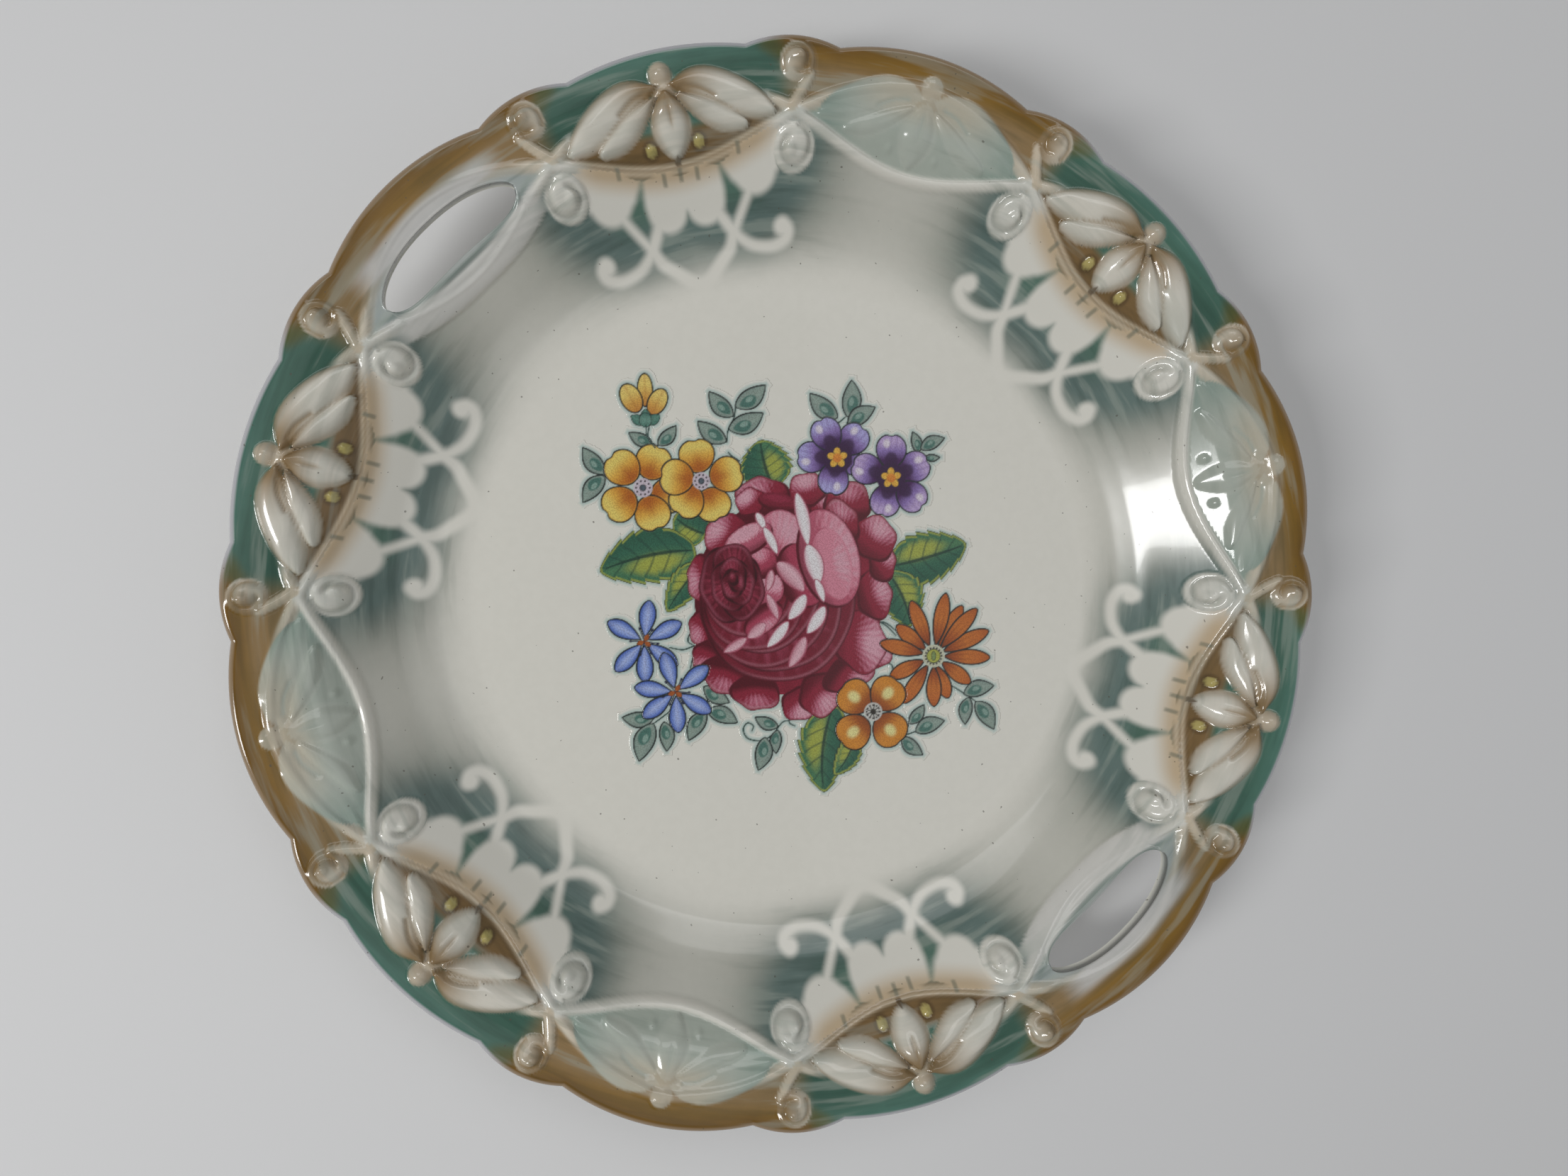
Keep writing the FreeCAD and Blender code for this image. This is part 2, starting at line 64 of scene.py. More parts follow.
# How finely the porcelain is divided.
COLUMNS = 1440
RELIEF_STEP = 0.5
WALL_STEP = 0.75

# A distance that stands for "nowhere near".
FAR = 9.0

# Section of the plate: radius and height. BASE is the well's underside inside the foot ring.
BASE = 4.0
UPPER = ((0, 8), (WELL, 8), (90, 9.3), (98, 13.6), (117, 29), (128, 31.6), (CREST, 35))
LOWER = ((89, 4.4), (91, 5.4), (100, 10), (119, 25.6), (128, 28.1), (CREST, 31.6))
FOOT = ((89.2, 3.0), (88.4, 1.0), (87.6, 0.15), (86.8, 0), (84.6, 0), (83.8, 0.2), (83.2, 1.2), (82.6, 3.2),
        (81.6, BASE))


# Small numeric tools


def smooth(low, high, x):
    """0 below low, 1 above high, and an S curve between."""
    t = np.clip((x - low) / (high - low), 0, 1)
    return t * t * (3 - 2 * t)


def mix(a, b, t):
    """Between colours a and b, point by point."""
    t = np.asarray(t)[..., None]
    return np.asarray(a) * (1 - t) + np.asarray(b) * t


GLAZE_STRENGTH = 1.38
BRIGHTEST = 0.86


def ink(code, strength=GLAZE_STRENGTH):
    """A hex colour as linear light, lifted so that the plate's white comes out as porcelain."""
    channels = [int(code[i:i + 2], 16) / 255 for i in (1, 3, 5)]
    linear = [c / 12.92 if c <= 0.04045 else ((c + 0.055) / 1.055) ** 2.4 for c in channels]
    return np.minimum(np.array(linear) * strength, BRIGHTEST)


def rounded(curve, softness):
    """The height of a polyline at any radius, with its corners eased over about softness."""
    radii, heights = np.array(curve).T
    fine = np.arange(radii[0] - 8, radii[-1] + 8, 0.1)
    slope_in = (heights[1] - heights[0]) / (radii[1] - radii[0])
    slope_out = (heights[-1] - heights[-2]) / (radii[-1] - radii[-2])
    line = np.interp(fine, radii, heights)
    line += np.where(fine < radii[0], (fine - radii[0]) * slope_in, 0)
    line += np.where(fine > radii[-1], (fine - radii[-1]) * slope_out, 0)
    reach = np.arange(-int(30 * softness), int(30 * softness) + 1) * 0.1
    kernel = np.exp(-(reach / softness) ** 2)
    padded = np.pad(line, len(reach) // 2, mode="edge")
    eased = np.convolve(padded, kernel / kernel.sum(), mode="valid")
    edge = int(30 * softness)
    eased[:edge] = line[:edge]
    eased[-edge:] = line[-edge:]
    return lambda radius: np.interp(radius, fine, eased)


upper_height = rounded(UPPER, 1.5)
lower_height = rounded(LOWER, 1.2)


def curve_points(points, count=24):
    """A smooth line through a few points (Catmull-Rom)."""
    p = np.array(points, float)
    if len(p) == 2:
        return p[0] + (p[1] - p[0]) * np.linspace(0, 1, count)[:, None]
    p = np.vstack((2 * p[0] - p[1], p, 2 * p[-1] - p[-2]))
    spans = len(p) - 3
    out = []
    for u in np.linspace(0, spans - 1e-6, count):
        i = int(u)
        t = u - i
        a, b, c, d = p[i:i + 4]
        out.append(0.5 * (2 * b + (c - a) * t + (2 * a - 5 * b + 4 * c - d) * t * t
                          + (3 * b - a - 3 * c + d) * t ** 3))
    return np.array(out)


def along(x, y, line):
    """For every point: its distance from a line, its side of it, and how far along it lies (0 to 1)."""
    best = np.full(x.shape, 1e9)
    side = np.zeros(x.shape)
    place = np.zeros(x.shape)
    last = len(line) - 1
    for i, (a, b) in enumerate(zip(line[:-1], line[1:])):
        dx, dy = b - a
        t = np.clip(((x - a[0]) * dx + (y - a[1]) * dy) / (dx * dx + dy * dy + 1e-12), 0, 1)
        ox = x - a[0] - t * dx
        oy = y - a[1] - t * dy
        d = np.hypot(ox, oy)
        near = d < best
        best = np.where(near, d, best)
        side = np.where(near, np.sign(dx * oy - dy * ox), side)
        place = np.where(near, (i + t) / last, place)
    return best, side, place


# The rim's plan


# Lobes of the edge: radius at the top, middle and half width in degrees from a border panel's middle.
NOTCH_RADIUS = 133.6
EDGE_LOBES = ((CREST, 0, 10.5), (134.8, 30, 9.5), (135.4, 15.5, 5.0))


def edge_radius(angle):
    """Radius of the lobed edge: border lobes, lily lobes and the small scrolls between them."""
    folded = np.degrees(PANEL - np.abs(angle % (2 * PANEL) - PANEL))
    return np.max([top - (top - NOTCH_RADIUS) * ((folded - middle) / half) ** 2
                   for top, middle, half in EDGE_LOBES], axis=0)


SLOT_MIDDLE = 119.3
SLOT_HALF_ANGLE = math.radians(10.2)
SLOT_INNER = 114.6
SLOT_OUTER = 124.6
# How far the slots' upper edges are rounded.
SLOT_ROUND = 1.3


def slot_bounds(angle):
    """Inner and outer radius of the finger slots, which meet where there is no slot."""
    from_handle = np.abs((angle + math.pi / 2) % math.pi - math.pi / 2)
    t = np.clip(from_handle / SLOT_HALF_ANGLE, 0, 1)
    # The inner edge keeps nearly straight, the outer one bows, and both close in round ends.
    inner = SLOT_MIDDLE - (SLOT_MIDDLE - SLOT_INNER) * (1 - t ** 5) ** 0.5
    outer = SLOT_MIDDLE + (SLOT_OUTER - SLOT_MIDDLE) * (1 - t ** 2.4) ** 0.62
    return inner, outer


def in_plan(radius, angle, part=None):
    """Moves a ring's points to the lobed edge and around the finger slots.

    Part says which lip of the slot the ring at SLOT_MIDDLE belongs to, inner or outer.
    """
    pull = smooth(120, 134.5, radius)
    moved = radius + (edge_radius(angle) - CREST) * pull
    inner, outer = slot_bounds(angle)
    inward = (inner - SLOT_MIDDLE) * smooth(104, SLOT_MIDDLE, radius)
    outward = (outer - SLOT_MIDDLE) * (1 - smooth(SLOT_MIDDLE, 133, radius))
    below = radius < SLOT_MIDDLE if part is None else part == "inner"
    return moved + np.where(below, inward, outward)


# The relief: heights above the wall, in a panel's own directions, x across it and y outward


def swell(q, power=2.0):
    """A rounded mound: 1 in the middle and 0 from q = 1 on."""
    return np.clip(1 - np.abs(q) ** power, 0, 1)


# Half widths of the ribbons, and how far they and the handle's shelf rise.
OVER_HALF = 1.7
UNDER_HALF = 1.5
RIBBON_RISE = 1.25
SHELF_HALF = 3.2
SHELF_RISE = 1.15
FURROW_DEPTH = 0.55
CELL_DEPTH = 0.9

LILY_PETALS = (
    # name, middle line from the pearl outward, half width, height, where it narrows
    ("wing", curve_points(((1.5, 126.0), (9, 125.2), (17.6, 120.4), (25.6, 115.4)), 20), 4.6, 2.7, 1.15),
    ("underwing", curve_points(((2.4, 124), (7, 120.8), (12.6, 117), (18.6, 114.2)), 16), 2.9, 2.9, 1.3),
    ("middle", curve_points(((0, 125), (0, 118), (0, 110.9)), 12), 5.0, 3.1, 1.05),
)
WING_GROOVE = curve_points(((4.7, 125), (8.2, 124), (11.8, 121.6)), 8)
# Middle, radius and rise of the round forms, and the balls that two scrolls wind in to.
PEARL = (128.6, 2.9, 2.3)
HUB = (125.0, 3.4, 1.7)
BERRY = (6.0, 113.6)
BERRY_RADIUS = 1.4
VOLUTE = (28.8, 107.5)
VOLUTE_BALL = (27.2, 107.0)
VOLUTE_RADIUS = 5.4
VOLUTE_RISE = 2.6
CURL = (33.4, 124.9)
CURL_BALL = (34.2, 125.6)
CURL_RADIUS = 4.4
CURL_RISE = 2.0
STEM_HALF = 1.5
STEM_RISE = 1.3
CURL_STEM = curve_points(((35.8, 121.6), (33.4, 118.9), (29.6, 115.6)), 10)


def petal_form(x, y, line, width, skew):
    """Height and cover (0 to 1) of a petal, and the place along it."""
    distance, side, place = along(x, y, line)
    half = width * np.clip(np.sin(math.pi * np.clip(place, 0, 1) ** skew), 0, 1) ** 0.62 + 0.08
    q = distance / half
    return swell(q, 2.4), smooth(1.06, 0.86, q), place, side * q


def ribbon_distance(radius, angle, sign):
    """Signed distance from the middle of one interlaced ribbon."""
    middle = RIBBON_MIDDLE + sign * RIBBON_SWING * np.cos(6 * angle)
    slope = 6 * RIBBON_SWING / RIBBON_MIDDLE * np.sin(6 * angle)
    return (radius - middle) / np.sqrt(1 + slope * slope)


def scroll_form(x, y, centre, ball, size, turn):
    """Height and cover of a volute: a swelling cut by a groove that winds in to a ball."""
    dx = x - centre[0]
    dy = y - centre[1]
    d = np.hypot(dx, dy) / size
    wind = ((np.arctan2(dy, dx) - turn) / TAU) % 1.0
    groove = np.exp(-((d - 0.42 - 0.44 * wind) / 0.12) ** 2) * smooth(0.0, 0.2, wind)
    knob = swell(np.hypot(x - ball[0], y - ball[1]) / (0.4 * size))
    height = swell(d, 3) * (0.85 - 0.7 * groove) + 0.4 * knob
    return height, smooth(1.04, 0.9, d), groove * (d < 1)


def panel_place(radius, angle):
    """Place from the middle of the nearest panel, and that panel's kind."""
    index = np.round(angle / PANEL)
    local = angle - index * PANEL
    index = index.astype(int) % 12
    handle = (index % 6 == 0).astype(float)
    return local, radius * np.sin(local), radius * np.cos(local), (index % 2 == 1).astype(float), handle


def lily_place(radius, angle):
    """Place from the nearest lily's middle line, with both its sides folded together."""
    local = np.abs((angle % (2 * PANEL)) - PANEL)
    return np.degrees(local), radius * np.sin(local), radius * np.cos(local)


def ribbon_relief(radius, local, turn, y, handle):
    """The crossing ribbons and the sunk cells between them, and the shelf that a handle has instead."""
    over = ribbon_distance(radius, local, 1)
    under = ribbon_distance(radius, local, -1)
    near_lily = smooth(14.5, 12.0, turn)
    degrees = np.degrees(np.abs(local))
    grip = handle * smooth(13.5, 10.5, degrees)
    shelf = under + 1.4 * smooth(0, 11, degrees) - 0.4
    over_half = OVER_HALF - 0.4 * near_lily
    under_half = UNDER_HALF + 0.3 * near_lily
    flat_middle = 1 - near_lily * smooth(13.5, 10.5, turn) - 0.7 * grip
    cell = smooth(0.2, 1.8, -over) * smooth(0.2, 1.4, under)
    # Each cover is 1 on its form and 0 off it; "under_at" is a distance.
    forms = {
        "over": smooth(1.2, 0.45, np.abs(over) / over_half) * flat_middle,
        "under": smooth(1.2, 0.45, np.abs(under) / under_half),
        "under_at": under,
        "cell": cell,
        "dip": cell * (1 - near_lily * smooth(117, 121, y)) * (1 - 0.5 * grip),
        "outside": smooth(-0.4, 0.9, over),
        "shelf": smooth(1.02, 0.85, np.abs(shelf) / 3.0) * grip,
        "furrow": np.exp(-((shelf - 3.5) / 0.55) ** 2) * grip,
    }
    over_rise = RIBBON_RISE * swell(over / (1.3 * over_half)) ** 2 * flat_middle
    under_rise = (RIBBON_RISE - 0.7 * near_lily) * swell(under / (1.3 * under_half)) ** 2
    height = np.maximum(np.maximum(over_rise, under_rise), SHELF_RISE * swell(shelf / SHELF_HALF, 4) * grip)
    return height - FURROW_DEPTH * forms["furrow"] - CELL_DEPTH * forms["dip"], forms


def lily_relief(height, forms, x, y, lily, handle):
    """Raises a lily from the ribbons: petals, groove, pearl, berries and hub."""
    ax = np.abs(x)
    flowered = 1 - handle
    bloom = (0.5 + 0.5 * lily) * flowered
    for name, line, width, tall, skew in LILY_PETALS:
        form, cover, place, across = petal_form(ax, y, line, width, skew)
        forms[name] = cover * flowered
        forms[name + "_place"] = place
        forms[name + "_across"] = across
        height = np.maximum(height, tall * form * bloom - 0.8 * forms["dip"])
    groove = np.exp(-(along(ax, y, WING_GROOVE)[0] / 0.45) ** 2)
    fold = np.exp(-(x / 0.5) ** 2) * smooth(124, 121, y) * smooth(115.5, 118.5, y)
    forms["groove"] = np.maximum(groove, 0.8 * fold) * flowered
    height = height - 0.7 * forms["groove"] * bloom
    pearl = np.hypot(x, y - PEARL[0]) / PEARL[1]
    forms["pearl"] = smooth(1.06, 0.86, pearl) * flowered
    height = np.maximum(height, PEARL[2] * swell(pearl) * bloom)
    berry = np.hypot(ax - BERRY[0], y - BERRY[1]) / BERRY_RADIUS
    forms["berry"] = smooth(1.05, 0.8, berry) * flowered
    # A painted dark ring of shade round each berry, where it sits sunk in the relief.
    forms["socket"] = np.exp(-((berry - 1.2) / 0.35) ** 2) * flowered
    height = np.maximum(height, (1.4 * swell(berry) - 0.5) * (berry < 1) * bloom)
    hub = np.hypot(x, y - HUB[0]) / HUB[1]
    forms["hub"] = smooth(1.05, 0.7, hub) * flowered
    return np.maximum(height, HUB[2] * swell(hub) * bloom)


def relief(radius, angle):
    """Relief height above the wall, and the cover of each form in it."""
    local, x, y, lily, handle = panel_place(radius, angle)
    turn, fx, fy = lily_place(radius, angle)
    height, forms = ribbon_relief(radius, local, turn, y, handle)
    height = lily_relief(height, forms, x, y, lily, handle)
    stem = along(fx, fy, CURL_STEM)[0] / STEM_HALF
    forms["stem"] = smooth(1.0, 0.7, stem)
    height = np.maximum(height, STEM_RISE * swell(stem))
    for name, centre, ball, size, rise, start in (
        ("volute", VOLUTE, VOLUTE_BALL, VOLUTE_RADIUS, VOLUTE_RISE, 1.2),
        ("curl", CURL, CURL_BALL, CURL_RADIUS, CURL_RISE, 3.6),
    ):
        form, forms[name], forms[name + "_groove"] = scroll_form(fx, fy, centre, ball, size, start)
        height = np.maximum(height, rise * form)
    return height, forms


# Glaze and paint on the porcelain

# Strength of the deep colours, which are lifted less than the white.
DEEP = 1.02
WHITE = ink("#c9c7be")
CREAM = ink("#c0b7a6")
WARM = ink("#b3a084")
TAN = ink("#9c835f", DEEP)
BROWN = ink("#84683f", DEEP)
DARK_BROWN = ink("#5b4526", DEEP)
TEAL = ink("#4c7464", DEEP)
DEEP_TEAL = ink("#3c6152", DEEP)
BRIGHT_TEAL = ink("#5f8d80", DEEP)
OLIVE = ink("#59602f", DEEP)
OCHRE = ink("#8d6a24", DEEP)
DARK_OCHRE = ink("#6d4c1b", DEEP)
MIST = ink("#5f746f", 1.15)
# Grey of the airbrushed wash, also used as painted shade in the volutes' grooves.
GREY_WASH_AND_SHADE = ink("#929389")
LIP = ink("#a3a3a6")
PALE_GLAZE = ink("#9ba298")
AMBER = ink("#a89a5e")
STAMEN = ink("#5c6255")
SPECK = ink("#4a463c")
BARE_CLAY = ink("#b3a995")


STENCIL_EASE = 0.6


def band(x, y, points, width):
    """Signed distance from the edge of a band along a smooth line, with a width for each end."""
    distance, _, place = along(x, y, curve_points(points))
    start, end = width if isinstance(width, tuple) else (width, width)
    return distance - (start + (end - start) * place)


def polygon(x, y, corners):
    """Signed distance from the edge of a polygon."""
    line = np.array(corners + corners[:1], float)
    inside = np.zeros(x.shape, bool)
    for (ax, ay), (bx, by) in zip(line[:-1], line[1:]):
        if ay == by:
            continue
        crossing = ax + (y - ay) * (bx - ax) / (by - ay)
        inside ^= ((ay > y) != (by > y)) & (x < crossing)
    return along(x, y, line)[0] * np.where(inside, -1, 1)


def joined(*shapes):
    """The union of signed distances, with its inner corners eased."""
    total = shapes[0]
    for shape in shapes[1:]:
        h = np.clip(0.5 + 0.5 * (shape - total) / STENCIL_EASE, 0, 1)
        total = shape * (1 - h) + total * h - STENCIL_EASE * h * (1 - h)
    return total


HEART = ((-1, 118), (9.4, 118), (9.75, 107.5), (10.15, 103), (9.2, 99.4), (5, 100.5), (-1, 100.5))
SIDE_DROP = ((10.3, 118), (10.3, 108.2), (12.6, 104.6), (15.1, 102.3), (18.8, 103.5), (24, 104), (27, 108),
             (27, 118))
CROSS = (10.8, 93.7)


def stencil_distance(x, y):
    """The white stencil under a lily: hearts, side drops, stems and hooked tendrils."""
    heart = joined(np.hypot(x - 4.9, y - 101.6) - 4.9, polygon(x, y, HEART))
    side = joined(np.hypot(x - 18.7, y - 105.6) - 5.2, polygon(x, y, SIDE_DROP))
    tendril = (CROSS, (12.6, 91.6), (15.5, 89.5), (20, 88.3), (23.6, 89.2), (24.6, 91.2), (23.6, 92.7))
    stems = joined(
        band(x, y, ((16.6, 101.8), CROSS), 0.95),
        band(x, y, ((8.0, 98.4), CROSS), 1.3),
        band(x, y, (CROSS, (9.0, 90.2), (5.7, 87.2), (2.5, 84.2), (0, 83.0)), (1.3, 1.7)),
        band(x, y, tendril, (1.1, 1.5)),
        np.hypot(x - 23.3, y - 92.2) - 2.0,
    )
    return joined(heart, side, stems)


SPRAY = curve_points(((31, 108), (27, 101), (18, 96.5), (10, 96.5), (0, 98)), 24)
DASHES = ((0, 107.9), (4.2, 107.5), (15.2, 110.6))


def lily_colours(colour, forms, glaze, x, y, lily):
    """A lily: cream petals that brown to the root, or pale ones under the glaze on a border panel."""
    border = 1 - lily
    pale = mix(glaze, WHITE, 0.12)
    cream = mix(WHITE, CREAM, 0.35)
    colour = mix(colour, mix(mix(CREAM, TAN, 0.65), glaze, 0.7 * border), forms["hub"])
    for name, depth in (("wing", 0.95), ("underwing", 0.5), ("middle", 0.95)):
        place = forms[name + "_place"]
        petal = mix(cream, TAN, depth * smooth(0.6, 0.1, place))
        petal = mix(petal, BROWN, 0.55 * smooth(0.28, 0.05, place))
        petal = mix(petal, TAN, 0.6 * smooth(0.45, 0.95, np.abs(forms[name + "_across"])))
        colour = mix(colour, mix(petal, pale, border), forms[name])
    # Painted shade in the wing's groove and the middle petal's fold: tan on a lily panel, pale glaze on a
    # border one.
    colour = mix(colour, mix(TAN, PALE_GLAZE, border), 0.75 * forms["groove"])
    colour = mix(colour, mix(mix(CREAM, TAN, 0.35), glaze, 0.5 * border), forms["pearl"])
    # Painted shade: the dark ring round each berry.
    colour = mix(colour, mix(DARK_BROWN, PALE_GLAZE, border), 0.8 * forms["socket"])
    colour = mix(colour, mix(AMBER, PALE_GLAZE, border), forms["berry"])
    # Painted shade: a dark brown spot where the middle petal's tip meets the ribbon, standing for a hollow
    # there.
    hollow_shade = smooth(1.1, 0.6, np.hypot(x, y - 110.4)) * lily
    return mix(colour, DARK_BROWN, 0.85 * hollow_shade)


def porcelain_colour(radius, angle, forms):
    """The fired colours with some painted shade, as linear light, and the strength of the brush streaks."""
    local, x, y, lily, handle = panel_place(radius, angle)
    turn, fx, fy = lily_place(radius, angle)
    # The airbrushed wall between the well and the ribbons.
    spray = along(fx, fy, SPRAY)[0]
    low = smooth(80, 89, radius)
    wide = np.exp(-(spray / 14.0) ** 2)
    close = np.exp(-(np.maximum(spray - 1.5, 0) / 6.8) ** 2)
    colour = mix(WHITE, GREY_WASH_AND_SHADE, low * np.clip(0.45 * smooth(82, 98, radius) + 0.65 * wide, 0, 1))
    colour = mix(colour, MIST, 0.95 * close * low)
    teal = smooth(96, 104, radius) * smooth(12.5, 8, turn)
    colour = mix(colour, TEAL, 0.85 * teal)
    # Outside the outer ribbon: teal over the lilies, ochre over the border panels.
    outside = forms["outside"]
    sea = mix(TEAL, DEEP_TEAL, 0.7 * smooth(132, 127, radius) * smooth(2, 8, turn))
    sea = mix(sea, BRIGHT_TEAL, 0.35 * smooth(129.5, 132.5, radius) * smooth(14, 4, turn))
    edge = radius - edge_radius(angle)
    gold = smooth(12.2, 16.2, turn + 2.2 * smooth(-7, -1.5, edge))
    ochre = mix(OCHRE, DARK_OCHRE, 0.6 * smooth(-5, -1, edge))
    ochre = mix(ochre, TAN, 0.75 * smooth(131.5, 127.0, radius))
    band_colour = mix(sea, ochre, gold)
    band_colour = mix(band_colour, OLIVE, 0.8 * gold * (1 - gold) * 4 * smooth(-9, -2, edge))
    colour = mix(colour, band_colour, np.clip(outside, 0, 1))
    lip = smooth(-1.7, -0.7, edge)
    colour = mix(colour, LIP, lip * (0.8 * (1 - gold) + 0.25 * gold))
    # Inside the cells.
    cell = forms["cell"]
    at = forms["under_at"]
    grain = 0.4 * np.exp(-((at - 1.9) / 0.45) ** 2) + 0.25 * np.exp(-((at - 3.3) / 0.4) ** 2)
    brown = mix(BROWN, DARK_BROWN, grain)
    floor = mix(sea, brown, smooth(117.6, 115.2, y - 0.03 * np.abs(x)))
    glaze = mix(PALE_GLAZE, WARM, 0.5 * smooth(118, 125, y) * smooth(11, 3, np.degrees(np.abs(local))))
    glaze = mix(glaze, BRIGHT_TEAL, 0.45 * smooth(6.5, 12, np.degrees(np.abs(local))))
    glaze = mix(glaze, LIP, 0.5 * handle)
    colour = mix(colour, mix(glaze, floor, lily), cell)
    over, under = forms["over"], forms["under"]
    strand = mix(CREAM, TAN, 0.8 * smooth(17, 22, turn) * (1 - 0.3 * handle))
    colour = mix(colour, strand, over)
    inner = mix(WHITE, mix(WARM, TAN, 0.5 + 0.5 * np.sin(at * 4.2)), 0.9 * smooth(13.5, 10, turn))
    colour = mix(colour, inner, under)
    lilac = mix(LIP, WHITE, 0.45)
    shelf = handle * smooth(129.5, 127, radius) * smooth(123.5, 124.5, radius)
    colour = mix(colour, lilac, 0.85 * shelf * smooth(11.5, 7.5, np.degrees(np.abs(local))))
    colour = mix(colour, mix(lilac, WHITE, 0.4), forms["shelf"])
    colour = mix(colour, mix(PALE_GLAZE, MIST, 0.6), 0.85 * forms["furrow"])
    colour = lily_colours(colour, forms, glaze, x, y, lily)
    colour = mix(colour, mix(CREAM, WARM, 0.4), forms["stem"])
    curl = mix(CREAM, TAN, smooth(13.2, 16.5, turn))
    curl = mix(curl, OCHRE, 0.6 * forms["curl_groove"])
    colour = mix(colour, curl, forms["curl"])
    # Painted shade: the volute's spiral groove is greyed.
    ball = mix(WHITE, GREY_WASH_AND_SHADE, 0.55 * forms["volute_groove"])
    colour = mix(colour, ball, forms["volute"])
    streaks = np.clip(outside * 0.8 + 0.4 * cell + wide * low, 0, 1)
    return colour, streaks


# Meshes


def closed_mesh(name, points, faces):
    """A smooth-shaded piece from points in millimetres."""
    mesh = bpy.data.meshes.new(name)
    mesh.from_pydata((np.asarray(points) * MM).tolist(), [], faces)
    mesh.polygons.foreach_set("use_smooth", [True] * len(mesh.polygons))
    mesh.update()
    piece = bpy.data.objects.new(name, mesh)
    bpy.context.scene.collection.objects.link(piece)
    return piece


def paint(piece, name, colour):
    """A colour for every point of a piece."""
    layer = piece.data.color_attributes.new(name=name, type="FLOAT_COLOR", domain="POINT")
    rgba = np.ones((len(colour), 4), np.float32)
    rgba[:, :3] = colour
    layer.data.foreach_set("color", rgba.ravel())


def mark(piece, name, numbers):
    """A number for every point of a piece."""
    layer = piece.data.attributes.new(name=name, type="FLOAT", domain="POINT")
    layer.data.foreach_set("value", np.asarray(numbers, np.float32))


def section_rings():
    """Rings of the upper face, the lip, the underside and the foot: (radius, height, name)."""
    edge = CREST - LIP_ROUND
    radii = [*np.arange(60, 80, 4), *np.arange(80, 104, WALL_STEP), *np.arange(104, edge, RELIEF_STEP), edge]
    rings = [(r, float(upper_height(r)), "upper") for r in radii if abs(r - SLOT_MIDDLE) > 0.3]
    at_slot = float(upper_height(SLOT_MIDDLE))
    rings += [(SLOT_MIDDLE, at_slot, "upper_inner"), (SLOT_MIDDLE, at_slot, "upper_outer")]
    rings.sort(key=lambda ring: (ring[0], ring[2]))
    top = float(upper_height(edge))
    for t in np.linspace(0, math.pi, 9)[1:-1]:
        rings.append((edge + LIP_ROUND * math.sin(t), top - LIP_ROUND * (1 - math.cos(t)), "lip"))
    radii = [r for r in np.arange(edge, 90, -1.3) if abs(r - SLOT_MIDDLE) > 0.8]
    # The outermost rings of the underside meet the lip.
    ceilings = [top - 2 * LIP_ROUND if r > CREST - 3 else math.inf for r in radii]
    under = [(r, min(float(lower_height(r)), ceiling), "lower") for r, ceiling in zip(radii, ceilings)]
    at_slot = float(lower_height(SLOT_MIDDLE))
    under += [(SLOT_MIDDLE, at_slot, "lower_outer"), (SLOT_MIDDLE, at_slot, "lower_inner")]
    under.sort(key=lambda ring: (-ring[0], ring[2] == "lower_inner"))
    return rings + under + [(r, z, "foot") for r, z in (*FOOT, (60, BASE))]


def sculpted(plan, angle, radius):
    """Rise of the upper face over the plain section, with its slots' rounded lips, and the covers."""
    form, covers = relief(plan, angle)
    inner, outer = slot_bounds(angle)
    gap = np.where(radius <= SLOT_MIDDLE, inner - plan, plan - outer)
    gap = np.where((outer - inner > 0.05) & (gap >= -1e-6), gap, FAR)
    form *= smooth(0.5, 3.0, gap) * smooth(100, 103, plan) * smooth(0, -2.0, plan - edge_radius(angle))
    short = np.clip(SLOT_ROUND - gap, 0, SLOT_ROUND)
    roll = SLOT_ROUND - np.sqrt(np.clip(SLOT_ROUND ** 2 - short ** 2, 0, None))
    bead = 0.45 * np.exp(-((gap - 1.5) / 0.7) ** 2) * (plan < SLOT_MIDDLE)
    return form + bead - roll, covers


def porcelain_faces(number, names, shut, centre):
    """Faces between the rings, the slots' walls, and the middles of the well and of its underside."""
    after = np.roll(np.arange(COLUMNS), -1)
    slits = [(names.index("upper_inner"), names.index("upper_outer")),
             (names.index("lower_outer"), names.index("lower_inner"))]
    # Points of the two lips of a slit are one point where there is no slot.
    for first, second in slits:
        number[second][shut] = number[first][shut]
    faces = []
    for i in range(len(names) - 1):
        if (i, i + 1) not in slits:
            a, b, c, d = number[i], number[i][after], number[i + 1][after], number[i + 1]
            faces += np.stack((a, d, c, b), -1).tolist()
    is_open = np.nonzero(~(shut & shut[after]))[0]
    (upper_inner, upper_outer), (lower_outer, lower_inner) = slits
    next_open = after[is_open]
    for upper, lower, step in ((upper_inner, lower_inner, 1), (upper_outer, lower_outer, -1)):
        top, bottom = number[upper], number[lower]
        wall = (top[is_open], top[next_open], bottom[next_open], bottom[is_open])
        faces += np.stack(wall[::step], -1).tolist()
    faces += np.stack((np.full(COLUMNS, centre), number[0], number[0][after]), -1).tolist()
    faces += np.stack((np.full(COLUMNS, centre + 1), number[-1][after], number[-1]), -1).tolist()
    return faces


def stencil_marks(plan, angle, covers):
    """Distances to the stencil's edge and to the stamens, and how warm the stencil's white is."""
    turn, fx, fy = lily_place(plan, angle)
    blocked = np.maximum(covers["under"], covers["volute"])
    marks = stencil_distance(fx, fy) + 3 * smooth(0.45, 0.95, blocked)
    marks = np.where((covers["under_at"] > 0) | (turn > 18), FAR, marks)
    warmth = smooth(-6, -0.5, covers["under_at"]) * smooth(15, 10, turn)
    stamens = np.full(fx.shape, FAR)
    for x, y in DASHES:
        stamens = np.minimum(stamens, np.maximum(np.abs(fx - x) - 0.5, np.abs(fy - y) - 1.35))
    return marks, warmth, stamens


